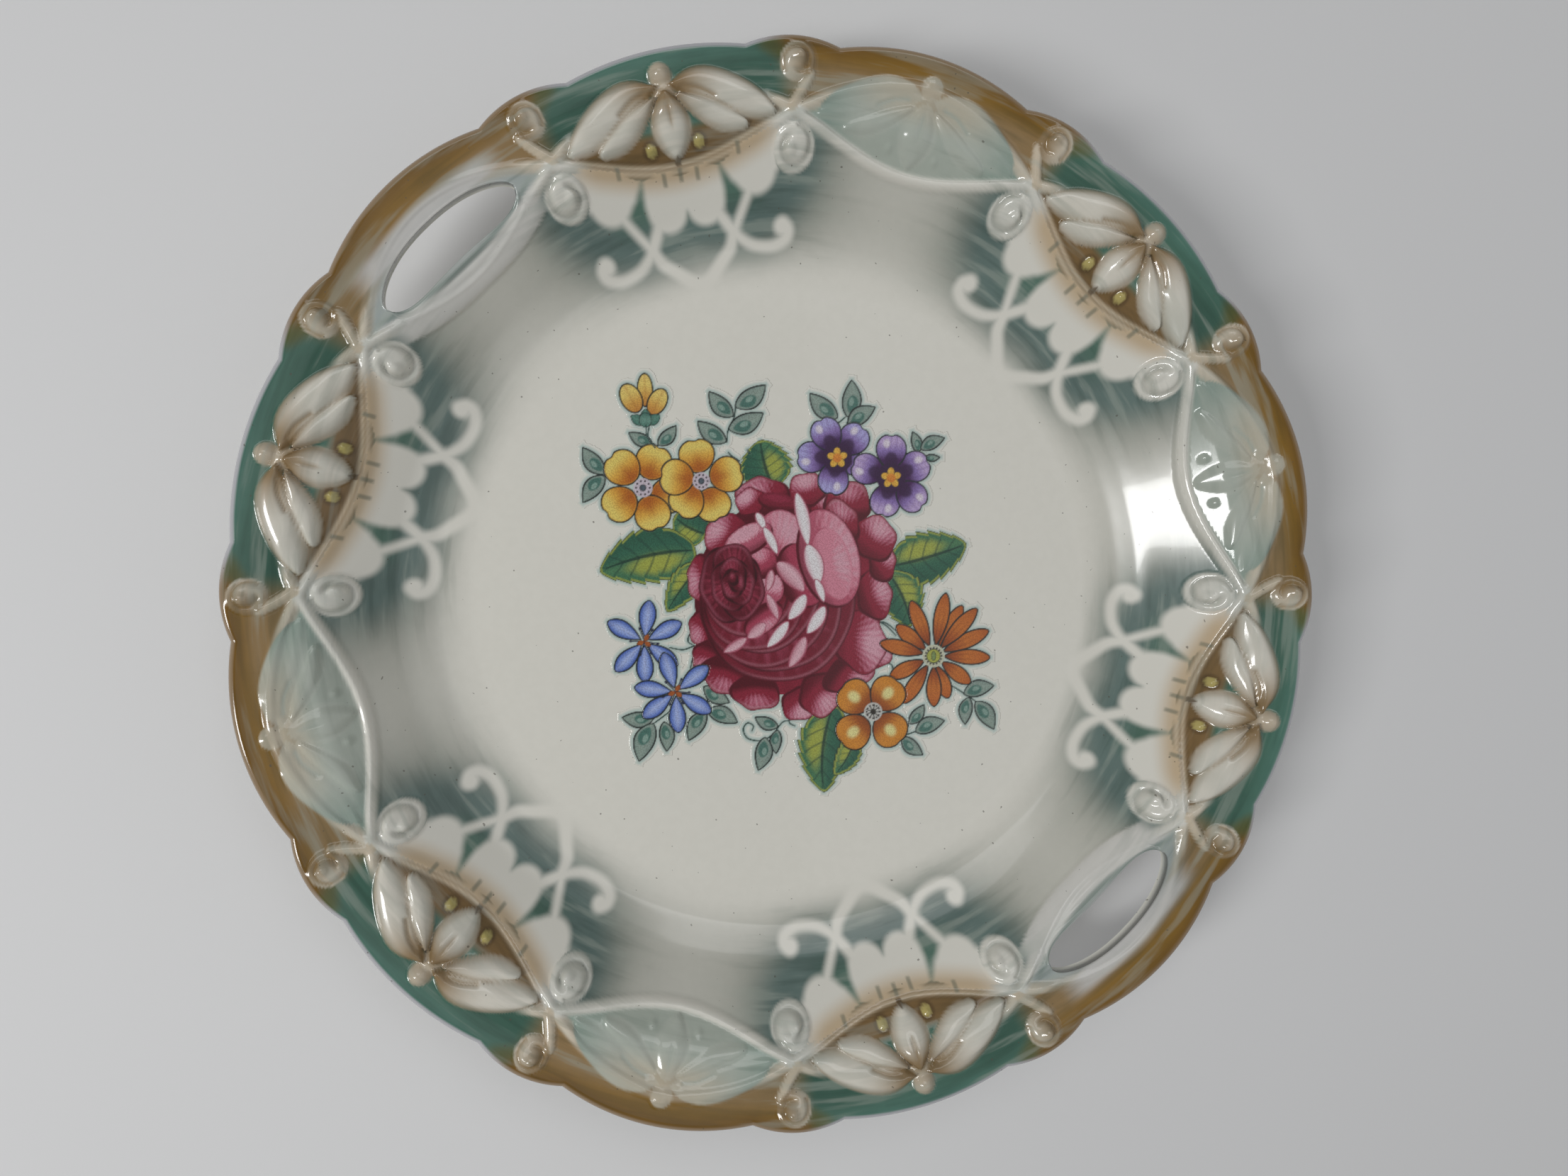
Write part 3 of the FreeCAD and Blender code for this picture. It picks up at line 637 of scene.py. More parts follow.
def build_porcelain():
    """One closed mesh for the casting, with its relief, slots, lip and foot ring."""
    rings = section_rings()
    names = [ring[2] for ring in rings]
    angles = np.arange(COLUMNS) * TAU / COLUMNS
    angles = np.where(angles > math.pi, angles - TAU, angles)
    radius = np.array([ring[0] for ring in rings])[:, None] + np.zeros(COLUMNS)
    height = np.array([ring[1] for ring in rings])[:, None] + np.zeros(COLUMNS)
    angle = np.broadcast_to(angles, radius.shape)
    lips = [name.partition("_")[2] or None for name in names]
    plan = np.stack([in_plan(row, angles, lip) for row, lip in zip(radius, lips)])
    above = np.array([name.startswith("upper") for name in names])
    below = np.array([name.startswith("lower") for name in names])
    lip = np.array([name == "lip" for name in names])
    height[above] = upper_height(plan[above])
    drop = height[above][-1] - upper_height(CREST - LIP_ROUND)
    height[lip] += drop
    fade = smooth(126, 134, radius[below])
    height[below] = lower_height(plan[below]) * (1 - fade) + (height[below] + drop) * fade
    rise, covers = sculpted(plan[above], angle[above], radius[above])
    height[above] += rise
    points = np.stack((plan * np.cos(angle), plan * np.sin(angle), height), -1).reshape(-1, 3)
    centre = len(points)
    points = np.vstack((points, ((0, 0, FLOOR_TOP), (0, 0, BASE))))
    number = np.arange(centre).reshape(radius.shape)
    numbers = number.copy()
    from_handle = np.abs((angles + math.pi / 2) % math.pi - math.pi / 2)
    faces = porcelain_faces(numbers, names, from_handle > SLOT_HALF_ANGLE - 1e-6, centre)

    def on_rings(rows, given, others):
        """Given values on some rings' points, and another value on the rest."""
        full = np.empty((len(points),) + np.shape(others))
        full[:] = others
        full[number[rows].ravel()] = np.reshape(given, (-1,) + np.shape(others))
        return full

    painted, streaks = porcelain_colour(plan[above], angle[above], covers)
    colour = on_rings(above, painted, WHITE)
    edges = lip | below
    colour[number[edges].ravel()] = porcelain_edge(angle[edges], radius[edges]).reshape(-1, 3)
    stencil, warmth, stamens = stencil_marks(plan[above], angle[above], covers)
    foot = np.array([name == "foot" and z < 0.3 for _, z, name in rings])
    used = np.zeros(len(points), bool)
    used[numbers.ravel()] = True
    used[centre:] = True
    renumber = np.cumsum(used) - 1
    piece = closed_mesh("porcelain", points[used], [renumber[face].tolist() for face in faces])
    paint(piece, "glaze", colour[used])
    for name, rows, given, others in (
        ("streaks", above, streaks, 0.0), ("stencil", above, stencil, FAR), ("warmth", above, warmth, 0.0),
        ("stamens", above, stamens, FAR), ("bare", foot, np.ones(radius[foot].shape), 0.0),
    ):
        mark(piece, name, on_rings(rows, given, others)[used])
    return piece


def porcelain_edge(angle, radius):
    """Colours of the lip's face and the underside, which is plain white glaze."""
    local, _, _, lily, _ = panel_place(radius, angle)
    turn = np.degrees(np.abs(local))
    ochre = np.clip((1 - lily) + lily * smooth(10.2, 14.6, turn), 0, 1)
    tint = mix(LIP, OCHRE, 0.75 * ochre)
    return mix(WHITE, tint, smooth(CREST - 2.2, CREST - 1.0, radius))


# The bouquet: painted on a fine grid over the well, x right and y up as the flowers stand

CELL = 0.25
REACH = 62.0
# How far the flux reaches past the paint, and how thick a film is at its edge and under the paint.
HALO = 1.15
FILM_EDGE = 0.06
FILM_RISE = 0.04
LINE = 0.42
BOUQUET_TURN = math.radians(45)
ENAMEL_STRENGTH = 1.12
HALO_TINT = ink("#8fa8a3")
INK_LINE = ink("#18211f")


def enamel_ink(code):
    """A fired enamel's colour, which is deeper than the glaze's."""
    return ink(code, ENAMEL_STRENGTH)


def grade(t, *stops):
    """A colour for every t, from evenly spaced stops."""
    places = np.linspace(0, 1, len(stops))
    inks = np.array([enamel_ink(stop) for stop in stops])
    return np.stack([np.interp(t, places, inks[:, i]) for i in range(3)], -1)


def turned(x, y, degrees):
    """Coordinates along and across a direction."""
    c = math.cos(math.radians(degrees))
    s = math.sin(math.radians(degrees))
    return x * c + y * s, y * c - x * s


def step_out(centre, degrees, distance):
    """The place at some distance from a centre, in some direction."""
    turn = math.radians(degrees)
    return centre[0] + distance * math.cos(turn), centre[1] + distance * math.sin(turn)


def span(base, tip):
    """How long it is from a base to a tip, and in which direction."""
    dx, dy = tip[0] - base[0], tip[1] - base[1]
    return math.hypot(dx, dy), math.degrees(math.atan2(dy, dx))


class Enamel:
    """The painted grid: colours, the print that owns each point, and how far the nearest paint is."""

    def __init__(self):
        steps = np.arange(-REACH, REACH + CELL, CELL)
        self.x, self.y = np.meshgrid(steps, steps, indexing="ij")
        self.colour = np.empty(self.x.shape + (3,))
        self.colour[:] = WHITE
        self.owner = np.full(self.x.shape, -1)
        self.near = np.full(self.x.shape, FAR)

    def lay(self, owner, centre, reach, form, shade, line=LINE, line_colour=INK_LINE):
        """Paints one form, which gives a signed distance and two coordinates for shade to colour."""
        low = [max(0, int((c - reach - 1.5 + REACH) / CELL)) for c in centre]
        high = [int((c + reach + 1.5 + REACH) / CELL) + 2 for c in centre]
        window = (slice(low[0], high[0]), slice(low[1], high[1]))
        distance, u, v = form(self.x[window] - centre[0], self.y[window] - centre[1])
        colour = shade(u, v, distance)
        if line:
            colour = mix(colour, line_colour, smooth(-line - 0.16, -line + 0.16, distance))
        cover = smooth(0.13, -0.13, distance)
        self.colour[window] = mix(self.colour[window], colour, cover)
        nearer = distance < self.near[window]
        take = (distance < 0) | (nearer & (self.near[window] > 0))
        self.owner[window] = np.where(take, owner, self.owner[window])
        self.near[window] = np.minimum(self.near[window], distance)


def oval(along_size, across_size, turn=0.0, egg=0.0, notch=0.0, ruffle=0.0):
    """An oval, with coordinates from -1 to 1 inside it, and a notch or ruffles in its edge."""
    def form(x, y):
        u, v = turned(x, y, turn)
        wide = across_size * (1 + egg * u / along_size)
        f = np.sqrt((u / along_size) ** 2 + (v / wide) ** 2) + 1e-9
        f = f * (1 + notch * np.exp(-(v / (0.2 * across_size)) ** 2) * smooth(0.3, 0.9, u / along_size))
        f = f * (1 + ruffle * np.sin(5 * np.arctan2(v, u) + along_size))
        g = np.sqrt((u / along_size ** 2) ** 2 + (v / wide ** 2) ** 2) / f + 1e-9
        return (f - 1) / g, u / along_size, v / across_size
    return form


def blade(length, width, turn, blunt=0.8, widest=1.0, bow=0.0, teeth=0):
    """A petal or leaf from its base: u is 0 to 1 to the tip, v is -1 to 1 across."""
    def form(x, y):
        u, v = turned(x, y, turn)
        t = np.clip(u / length, 0, 1)
        v = v - bow * 4 * t * (1 - t)
        half = width * np.sin(math.pi * t ** widest) ** blunt
        if teeth:
            half = half * (1 + 0.16 * ((-t * teeth) % 1.0) * smooth(0.08, 0.3, t))
        distance = np.maximum((np.abs(v) - half) * 0.88, np.maximum(-u, u - length))
        return distance, t, v / (half + 0.05)
    return form


def stroke(points, width, taper=0.5):
    """A brush stroke through points, measured from the first; u is 0 to 1 along it."""
    first = np.array(points[0], float)
    line = curve_points([tuple(np.array(p) - first) for p in points], 8 * len(points))

    def form(x, y):
        distance, side, place = along(x, y, line)
        half = width * ((1 - taper) + taper * np.sin(math.pi * place))
        return distance - half, place, side * distance / half
    return tuple(first), np.abs(line).max() + width, form


def plain(*stops):
    """One colour, or colours from edge to edge."""
    return lambda u, v, d: grade(np.clip(0.5 + 0.5 * v, 0, 1), *(stops if len(stops) > 1 else stops * 2))


enamel = Enamel()
PRINTS = (
    ("rose_print", "rose_enamel"), ("rose_leaf_prints", "leaf_enamel"),
    ("primrose_left_print", "yellow_enamel"), ("primrose_right_print", "yellow_enamel"),
    ("bud_print", "yellow_enamel"), ("buttercup_print", "yellow_enamel"),
    ("orange_daisy_print", "orange_enamel"),
    ("violet_left_print", "violet_enamel"), ("violet_right_print", "violet_enamel"),
    ("blue_star_upper_print", "blue_enamel"), ("blue_star_lower_print", "blue_enamel"),
    ("primrose_sprig_prints", "sprig_enamel"), ("violet_sprig_prints", "sprig_enamel"),
    ("star_sprig_prints", "sprig_enamel"), ("curl_sprig_prints", "sprig_enamel"),
    ("daisy_sprig_prints", "sprig_enamel"),
)
OWNERS = {name: number for number, (name, _) in enumerate(PRINTS)}


def lay_stem(name, points, width=0.24, colour="#2c4a44"):
    """A thin line of a print, without an outline of its own."""
    centre, reach, form = stroke(points, width, 0.2)
    enamel.lay(OWNERS[name], centre, reach, form, plain(colour), line=0)


def sprig_shade(u, v, d):
    """Grey-green, with a deep teal lobe and a pale heart to it, and a darker side."""
    colour = grade(np.clip(0.5 + 0.5 * v, 0, 1), "#81978d", "#8fa196", "#7d9088")
    lobe = smooth(1.0, 0.75, np.hypot((u - 0.36) / 0.27, (v + 0.12) / 0.62))
    colour = mix(colour, enamel_ink("#3f6e63"), 0.9 * lobe)
    heart = smooth(1.0, 0.7, np.hypot((u - 0.42) / 0.13, (v - 0.02) / 0.28))
    return mix(colour, enamel_ink("#8aa79b"), 0.85 * heart)


def lay_sprig(name, leaves, stems):
    """Small leaves, each from its base to its tip, on thin stems."""
    for points in stems:
        lay_stem(name, points)
    for index, (base, tip) in enumerate(leaves):
        length, turn = span(base, tip)
        bow = 0.06 * length * (-1) ** index
        form = blade(length, 0.27 * length, turn, 0.8, 0.86, bow)
        enamel.lay(OWNERS[name], base, length, form, sprig_shade)


def rose_leaf_shade(side, seams):
    """Deep green with a yellow-green half by the midrib, veins and a yellow-green margin."""
    def shade(u, v, d):
        colour = grade(np.clip(0.5 + 0.5 * v * side, 0, 1), "#2b5a45", "#346650", "#4d7d57", "#3b6f52")
        glow = smooth(1.0, 0.3, np.hypot((u - 0.42) / 0.42, (v * side - 0.34) / 0.5))
        colour = mix(colour, enamel_ink("#a6ad4a"), 0.9 * glow)
        vein = np.abs(((u * seams - np.abs(v) * 1.1) % 1.0) - 0.5)
        inward = smooth(1.0, 0.6, np.abs(v))
        midrib = smooth(0.09, 0.03, np.abs(v)) * smooth(0.97, 0.9, u)
        colour = mix(colour, enamel_ink("#26463a"), 0.55 * smooth(0.12, 0.03, vein) * inward)
        colour = mix(colour, enamel_ink("#1d3a30"), 0.85 * midrib)
        return mix(colour, enamel_ink("#9aa54c"), 0.85 * smooth(-0.95, -0.6, d))
    return shade


for base, tip, width, side, bow in (
    ((-3.0, 27.5), (-6.5, 40), 6.6, -1, 0.6),
    ((-20.5, 15), (-29.3, 19.8), 5.6, 1, 0.8),
    ((-23.5, 10.8), (-48.7, 5.2), 6.9, 1, -1.3),
    ((-21.5, 7.5), (-31.2, -5.6), 3.9, -1, -0.6),
    ((28.5, 6.4), (49.9, 12.6), 6.6, 1, -0.5),
    ((28.0, 5.0), (34.6, -10), 5.8, 1, 1.2),
    ((13.5, -31), (11, -54.6), 6.3, -1, -1.6),
    ((19.6, -39.0), (13.8, -50), 3.2, -1, 0.9),
):
    length, turn = span(base, tip)
    form = blade(length, width, turn, 0.62, 0.8, bow, 7 if length > 12 else 0)
    enamel.lay(OWNERS["rose_leaf_prints"], base, length, form, rose_leaf_shade(side, 6), 0.22)

lay_sprig("primrose_sprig_prints", (
    ((-47.2, 30.6), (-53, 37.6)), ((-47.2, 30.2), (-53, 23)), ((-34.8, 38.6), (-41.2, 41.6)),
    ((-33.6, 38.2), (-28.6, 43.6)), ((-13.6, 46), (-20.2, 52.6)), ((-13.2, 48.5), (-5, 54.6)),
    ((-15.4, 39.3), (-23.2, 44.8)), ((-15.0, 42.6), (-5.6, 47.2)),
), (
    ((-43, 30.6), (-47.4, 30.4)), ((-35.6, 44), (-36, 40), (-33.6, 38)),
    ((-15.4, 39.3), (-15.0, 42.6), (-13.4, 46), (-13.0, 50)), ((-15, 36.6), (-14, 35.6), (-12, 34.4)),
    ((-13.6, 27), (-12, 24), (-11.2, 20)), ((-9.4, 36.2), (-9.9, 37.4)),
))
lay_sprig("violet_sprig_prints", (
    ((14.3, 46.0), (6.6, 52.6)), ((17, 46.2), (18, 56.4)), ((17.0, 44.0), (24.6, 49.2)),
    ((36.3, 36.9), (34.6, 42.9)), ((36.9, 38), (43.7, 41.2)), ((38.0, 36), (42.5, 36)),
), (
    ((14, 44.4), (16.4, 46.4)), ((16.5, 43), (17.2, 46.4)), ((33.2, 37), (36.6, 37), (38.2, 36)),
))
lay_sprig("star_sprig_prints", (
    ((-34.6, -33.8), (-43.2, -33.4)), ((-34.8, -35), (-38.6, -45.3)),
    ((-32, -34.6), (-31.3, -42.8)), ((-20.8, -32.2), (-25.5, -40)),
    ((-20.6, -31.8), (-12.3, -35.4)), ((-21.5, -25.4), (-14.4, -29.9)),
), (
    ((-34.8, -35.2), (-32.6, -33.6), (-30.5, -32)), ((-21, -33), (-20.4, -29), (-21.6, -25.4)),
    ((-30.5, -15), (-27, -15.6), (-24, -14.7), (-22.5, -15.4)),
    ((-24, -14.6), (-25.6, -13.4), (-25.2, -11.6), (-24.2, -12)),
    ((-25, -20.5), (-24, -17.4), (-21, -16.6)),
))
lay_sprig("curl_sprig_prints", (
    ((-1.4, -36.6), (-7.9, -33.8)), ((-1.6, -37.3), (-2, -44)), ((-5, -39.2), (-6.9, -48.4)),
), (
    ((1.6, -35.0), (-0.4, -35.4), (-3, -38.6), (-6, -40.2), (-9.6, -39.6), (-10.9, -37.2),
     (-9.8, -35.4), (-8.2, -36.2), (-8.6, -37.6)),
    ((3, -36.4), (1.6, -35.6), (1.4, -34)),
))
lay_sprig("daisy_sprig_prints", (
    ((49.4, -28.4), (58.2, -26.2)), ((51, -29.2), (50, -37)), ((52.8, -30.4), (58.2, -38.4)),
    ((34.2, -36.4), (38.6, -31)), ((36.0, -38.6), (44.4, -35.6)), ((32.3, -39.8), (38.4, -45)),
), (
    ((45.4, -25.6), (48.6, -27.6), (51.4, -29.4), (53, -30.6)),
    ((31, -40), (34, -39.2), (36.4, -38.4)), ((33, -39.4), (34.4, -36.4)),
    ((24, -7.8), (27.6, -9.4), (30.5, -12.2)), ((24, -8.2), (27.6, -8.8), (30.6, -11.0)),
    ((27.2, -19.6), (29.4, -20.2), (29.6, -22.4), (28.4, -24)), ((31, -26), (32, -28)),
))

# The rose: petals laid from the outside in, each lit along the edge that turns away from the heart.
ROSE = OWNERS["rose_print"]
ROSE_LINE = enamel_ink("#5d1123")


def rose_shade(light_turn, dark="#550a1a", middle="#8a2036", light="#b9697e", rim="#d3a0ae",
               lift=0.0, roll=0.45):
    """Deep crimson in the fold, pale towards the lit edge, with a thin roll there and fine veins."""
    c = math.cos(math.radians(light_turn))
    s = math.sin(math.radians(light_turn))

    def shade(u, v, d):
        lit = u * c + v * s
        bloom = np.exp(-((u - 0.35 * c) ** 2 + (v - 0.35 * s) ** 2) / 0.3)
        veins = 0.07 * np.sin(np.arctan2(v + s, u + c) * 46) + 0.05 * np.sin(np.arctan2(v, u) * 31)
        tone = 0.62 * smooth(-0.75, 0.75, lit) + 0.38 * bloom - 0.3 * smooth(-1.0, -0.3, d) + lift
        tone = np.clip(tone + veins * smooth(0.1, 0.5, tone), 0, 1)
        colour = grade(tone, dark, middle, middle, light, rim)
        edge = np.exp(-((d + 0.75) / 0.4) ** 2) * smooth(0.2, 0.9, lit)
        return mix(colour, enamel_ink(rim), roll * edge)
    return shade


def lay_rose(centre, size, turn, light_turn, line=0.2, ruffle=0.0, **tones):
    """One rose petal: an oval that is lit from one side."""
    form = oval(size[0], size[1], turn, ruffle=ruffle)
    shade = rose_shade(light_turn - turn, **tones)
    enamel.lay(ROSE, centre, 1.1 * max(size), form, shade, line, ROSE_LINE)


lay_rose((1.5, -1.5), (25.5, 26.5), 0, -45, line=0, light="#7d1a2e", rim="#7d1a2e")
lay_rose((11.2, 21.8), (4.5, 4.5), 0, 90, line=0)
for centre, size, turn, lift in (
    ((-22.3, 3.3), (3.6, 6.4), 0, 0.05), ((-21.9, -9.8), (3.6, 5.2), 0, 0.0),
    ((-20.3, -17.7), (4.4, 4.8), 0, 0.0), ((-15.6, -22.5), (7.0, 5.2), -25, -0.1),
    ((-7.6, -27.2), (6.9, 4.8), -10, -0.1), ((4.3, -30.4), (5.2, 4.6), 20, 0.2),
    ((9.8, -28), (5.8, 6.2), 0, 0.1), ((17.8, -22.5), (7.7, 4.8), 25, 0.0),
    ((25.2, -16.6), (4.6, 4.6), 40, 0.15), ((20.6, -13.6), (7.2, 9.0), 20, 0.2),
    ((24.4, -1.2), (5.0, 7.0), 10, 0.1), ((26.6, 7.7), (3.8, 5.8), 0, 0.1),
    ((24.6, 14), (5.8, 6.4), 20, 0.15), ((17, 23.4), (6.5, 6.3), 0, -0.05),
    ((15.4, 18.5), (4.6, 6.4), 30, 0.0), ((6.2, 27), (5.2, 4.6), 0, 0.2),
    ((-5.4, 24.8), (7.6, 5.4), -8, 0.0), ((-9.0, 23.6), (4.2, 3.8), 20, 0.25),
    ((-15.6, 15.4), (6.4, 4.6), 30, 0.15),
):
    outward = math.degrees(math.atan2(centre[1] + 1.5, centre[0] - 1.5))
    lay_rose(centre, size, turn, outward + 25, lift=lift - 0.05, ruffle=0.055)
# Shadow in the curled petal at the top, and the deep band under the upper petals.
lay_rose((-1.6, 23.4), (5.6, 2.6), -12, 90, line=0, middle="#7a1a30", light="#8d2840", rim="#8d2840")
# The wraps of the ball, which close in on the heart.
for centre, size, turn, lit_turn, lift in (
    ((-1.6, -3.4), (20.9, 21.2), -20, -60, -0.16), ((-2.6, -3.6), (18.6, 18.2), -28, -40, -0.2),
    ((-5.2, -3.0), (17.4, 17.6), -20, -75, -0.14), ((-5.6, -1.2), (14.8, 16.0), -34, -50, -0.2),
    ((-8.0, -1.6), (14.0, 14.6), -20, -80, -0.1), ((-8.4, 0.6), (11.8, 13.0), -26, -58, -0.16),
    ((-10.2, 0.6), (11.6, 12.8), -10, -88, -0.12),
):
    lay_rose(centre, size, turn, lit_turn, dark="#4a0815", middle="#761a2d", light="#9c4258", rim="#c88b9b",
             lift=lift - 0.1, roll=0.3, ruffle=0.012)
lay_rose((-0.5, 12.0), (7.4, 9.8), 10, 60, middle="#b3566c", light="#d08a9b", lift=0.1)
lay_rose((4.4, 4.0), (6.4, 9.0), 20, 20, middle="#a43c54", light="#c77085")
lay_rose((12.0, 8.6), (8.4, 13.6), 15, 30, middle="#b3566c", light="#cf8496", lift=0.12)
lay_rose((12.6, 7.2), (5.6, 10.0), 15, 10, line=0, dark="#b3566c", middle="#cf8496", light="#cf8496",
         lift=0.1)
lay_rose((-4.6, 0.4), (4.6, 5.0), 0, 60, middle="#b3566c", light="#d99aab", lift=0.15)
lay_rose((-5.4, 7.4), (4.0, 4.6), 40, 120, middle="#a43c54", light="#c77085")
lay_rose((-9.6, 13.6), (7.2, 4.0), 28, 120, middle="#b3566c", light="#dba4b2", lift=0.1)
lay_rose((-5.6, -7.6), (6.2, 3.6), 40, -60, middle="#a43c54", light="#c77085")


# The dark heart: furled petals, each turned a third of the way round from the last.
for step in range(9):
    away = math.radians(200 + 125 * step)
    small = 1 - 0.1 * step
    place = (-13.4 + 1.7 * small * math.cos(away), 2.6 + 2.6 * small * math.sin(away))
    lay_rose(place, (7.6 * small, 10.2 * small), 8, math.degrees(away), dark="#3a0710", middle="#5f1022",
             light="#8c2c42", rim="#ac5c70", lift=-0.24 + 0.02 * step, ruffle=0.04)


def lens(first, second, width, shade):
    """A petal's pale edge where it rolls over: a lens from one turn to the next."""
    length, turn = span(first, second)
    form = blade(length, 1.3 * width, turn, 0.6, 0.9, 0.2 * width)
    enamel.lay(ROSE, first, length, form, shade, 0.3, ROLL_LINE)


ROLL_LINE = enamel_ink("#a85468")
WHITE_ROLL = plain("#cf9fac", "#efe0e2", "#efe0e2", "#dbb3bd")
PINK_ROLL = plain("#a85468", "#d3a2ae", "#dcb4be", "#b8687c")
for first, second, width, shade in (
    ((3.2, 26.2), (6.4, 11.9), 1.5, WHITE_ROLL), ((6.2, 12.4), (9.4, 1.6), 2.0, WHITE_ROLL),
    ((8.4, 3.2), (10.8, -3.2), 1.0, WHITE_ROLL), ((-7.6, 20.8), (-5.2, 16.2), 1.0, WHITE_ROLL),
    ((-5.6, 17.0), (-1.8, 9.6), 1.1, WHITE_ROLL), ((-1.9, 7.6), (5.4, -0.2), 1.9, PINK_ROLL),
    ((-3.4, 5.6), (-4.6, -0.2), 1.0, PINK_ROLL), ((-4.7, -0.8), (-1.6, -7.8), 1.0, PINK_ROLL),
    ((5.8, -1.0), (1.2, -7.8), 1.5, WHITE_ROLL), ((1.2, -8.2), (-4.6, -15.2), 1.3, WHITE_ROLL),
    ((11.0, -4.2), (6.2, -11.6), 1.5, WHITE_ROLL), ((5.8, -12.4), (1.4, -20.6), 1.4, PINK_ROLL),
    ((-5.0, -8.6), (-9.8, -12.6), 1.4, PINK_ROLL), ((-10.0, -12.6), (-16.2, -16.4), 1.1, PINK_ROLL),
):
    lens(first, second, width, shade)


# The smaller flowers


def ring(centre, angles, distances):
    """Places round a flower's middle."""
    for angle, distance in zip(angles, distances):
        yield angle, step_out(centre, angle, distance)


def primrose_shade(u, v, d):
    """Yellow, with orange-brown from the middle and along the petal's fold."""
    colour = grade(np.clip(0.5 - 0.5 * u, 0, 1), "#e6c766", "#ecce6c", "#dfaf4a", "#c47c25", "#a8571a")
    fold = np.exp(-(v / (0.16 + 0.1 * (1 - u))) ** 2) * smooth(0.55, -0.5, u)
    rays = np.clip(np.sin(np.arctan2(v, u + 1.4) * 40), 0, 1) * smooth(0.3, -0.6, u)
    colour = mix(colour, enamel_ink("#a9591c"), 0.6 * fold + 0.3 * rays)
    return mix(colour, enamel_ink("#d9a03c"), 0.5 * smooth(-0.9, -0.4, d))


def eye(name, centre, size, rim, dots, core, core_size):
    """A flower's eye: a pale ring with dots round it, and a dark middle."""
    owner = OWNERS[name]
    enamel.lay(owner, centre, size, oval(size, size), plain(rim), 0)
    for index in range(dots):
        place = step_out(centre, index * 360 / dots, 0.72 * size)
        enamel.lay(owner, place, 0.3, oval(0.26, 0.26), plain("#2a2420"), 0)
    enamel.lay(owner, centre, core_size, oval(core_size, core_size), plain(core), 0.22)


def lay_petals(name, places, size, shade, egg=0.12, notch=0.16):
    """Equal petals at some places, each turned to its own angle."""
    for angle, place in places:
        enamel.lay(OWNERS[name], place, max(size), oval(size[0], size[1], angle, egg, notch), shade)


lay_petals("primrose_left_print", ring((-37.4, 27.1), (346, 68, 290, 215, 136), (7.0, 7.2, 7.0, 7.3, 7.3)),
           (4.9, 4.9), primrose_shade)
eye("primrose_left_print", (-37.4, 27.1), 2.5, "#c9bfc9", 10, "#54606a", 0.9)
lay_petals("primrose_right_print", ring((-22.1, 29), (297, 234, 100, 15, 172), (6.8, 6.4, 6.7, 6.8, 6.5)),
           (4.7, 4.9), primrose_shade)
eye("primrose_right_print", (-22.1, 29), 2.3, "#c9bfc9", 10, "#54606a", 0.85)


def bud_shade(u, v, d):
    """Yellow that deepens to the base, with a fold along the middle."""
    colour = grade(np.clip(0.5 - 0.5 * u, 0, 1), "#e3c874", "#e6ca6e", "#d2a04a", "#c07f35")
    return mix(colour, enamel_ink("#b0702c"), 0.3 * np.exp(-(v / 0.15) ** 2))


bud = OWNERS["bud_print"]
enamel.lay(bud, (-36.8, 52.6), 4.6, oval(4.5, 2.2, 92), bud_shade)
enamel.lay(bud, (-40.4, 50.4), 4.6, oval(4.2, 2.9, 118), bud_shade)
enamel.lay(bud, (-33.6, 49.6), 4.4, oval(3.9, 2.6, 62), bud_shade)
for turn, length in ((150, 4.6), (92, 4.2), (34, 4.6)):
    sepal = blade(length, 1.5, turn)
    enamel.lay(bud, (-36.6, 43.6), length, sepal, plain("#3d6e61", "#5d8a7a", "#3d6e61"), 0.2)
enamel.lay(bud, (-36.7, 44.8), 2.4, oval(1.7, 2.0), plain("#4b7a6c", "#6b9485", "#3d6e61"), 0.2)
lay_stem("bud_print", ((-36.6, 43.4), (-36.2, 40.4), (-34.2, 37.6)))


def violet_shade(outer, deep):
    """Pale at the petal's rim with a white gleam, and deep purple towards the middle."""
    def shade(u, v, d):
        colour = grade(np.clip(0.5 - 0.5 * u, 0, 1), outer, outer, "#8a72b0", deep, deep)
        rays = np.clip(np.sin(v * 17 + u * 2), 0, 1) * smooth(-0.5, 0.2, u)
        colour = mix(colour, enamel_ink("#6a4c93"), 0.3 * rays)
        gleam = smooth(1.0, 0.4, np.hypot((u - 0.42) / 0.34, (v - 0.3) / 0.3))
        colour = mix(colour, enamel_ink("#e4dcec"), 0.8 * gleam)
        dark = smooth(1.0, 0.6, np.hypot((u + 0.55) / 0.62, v / 0.52))
        return mix(colour, enamel_ink("#35123f"), 0.85 * dark)
    return shade


for name, centre, angles, distances, outer, deep, shadowed in (
    ("violet_left_print", (14.2, 35.5), (179, 49, 260, 115), (6.5, 6.5, 5.6, 6.9),
     "#a9a4d6", "#43205a", 340),
    ("violet_right_print", (28.9, 30.3), (161, 25, 256, 319, 90), (6.8, 6.9, 6.2, 7.4, 7.2),
     "#b9a3cf", "#451a55", None),
):
    if shadowed is not None:
        lay_petals(name, ring(centre, (shadowed,), (4.6,)), (3.4, 3.2), violet_shade("#5a3a78", deep))
    lay_petals(name, ring(centre, angles, distances), (4.7, 4.3), violet_shade(outer, deep))
    enamel.lay(OWNERS[name], centre, 3.2, oval(4.0, 4.0), plain("#35123f"), 0)
    for angle, place in ring(centre, (20, 92, 164, 236, 308), (1.6,) * 5):
        enamel.lay(OWNERS[name], place, 1.5, oval(1.3, 1.05, angle), plain("#dba23a", "#e9b84c"), 0.16)
    enamel.lay(OWNERS[name], centre, 1.4, oval(1.2, 1.2), plain("#cf7a2a", "#dd8f34"), 0)


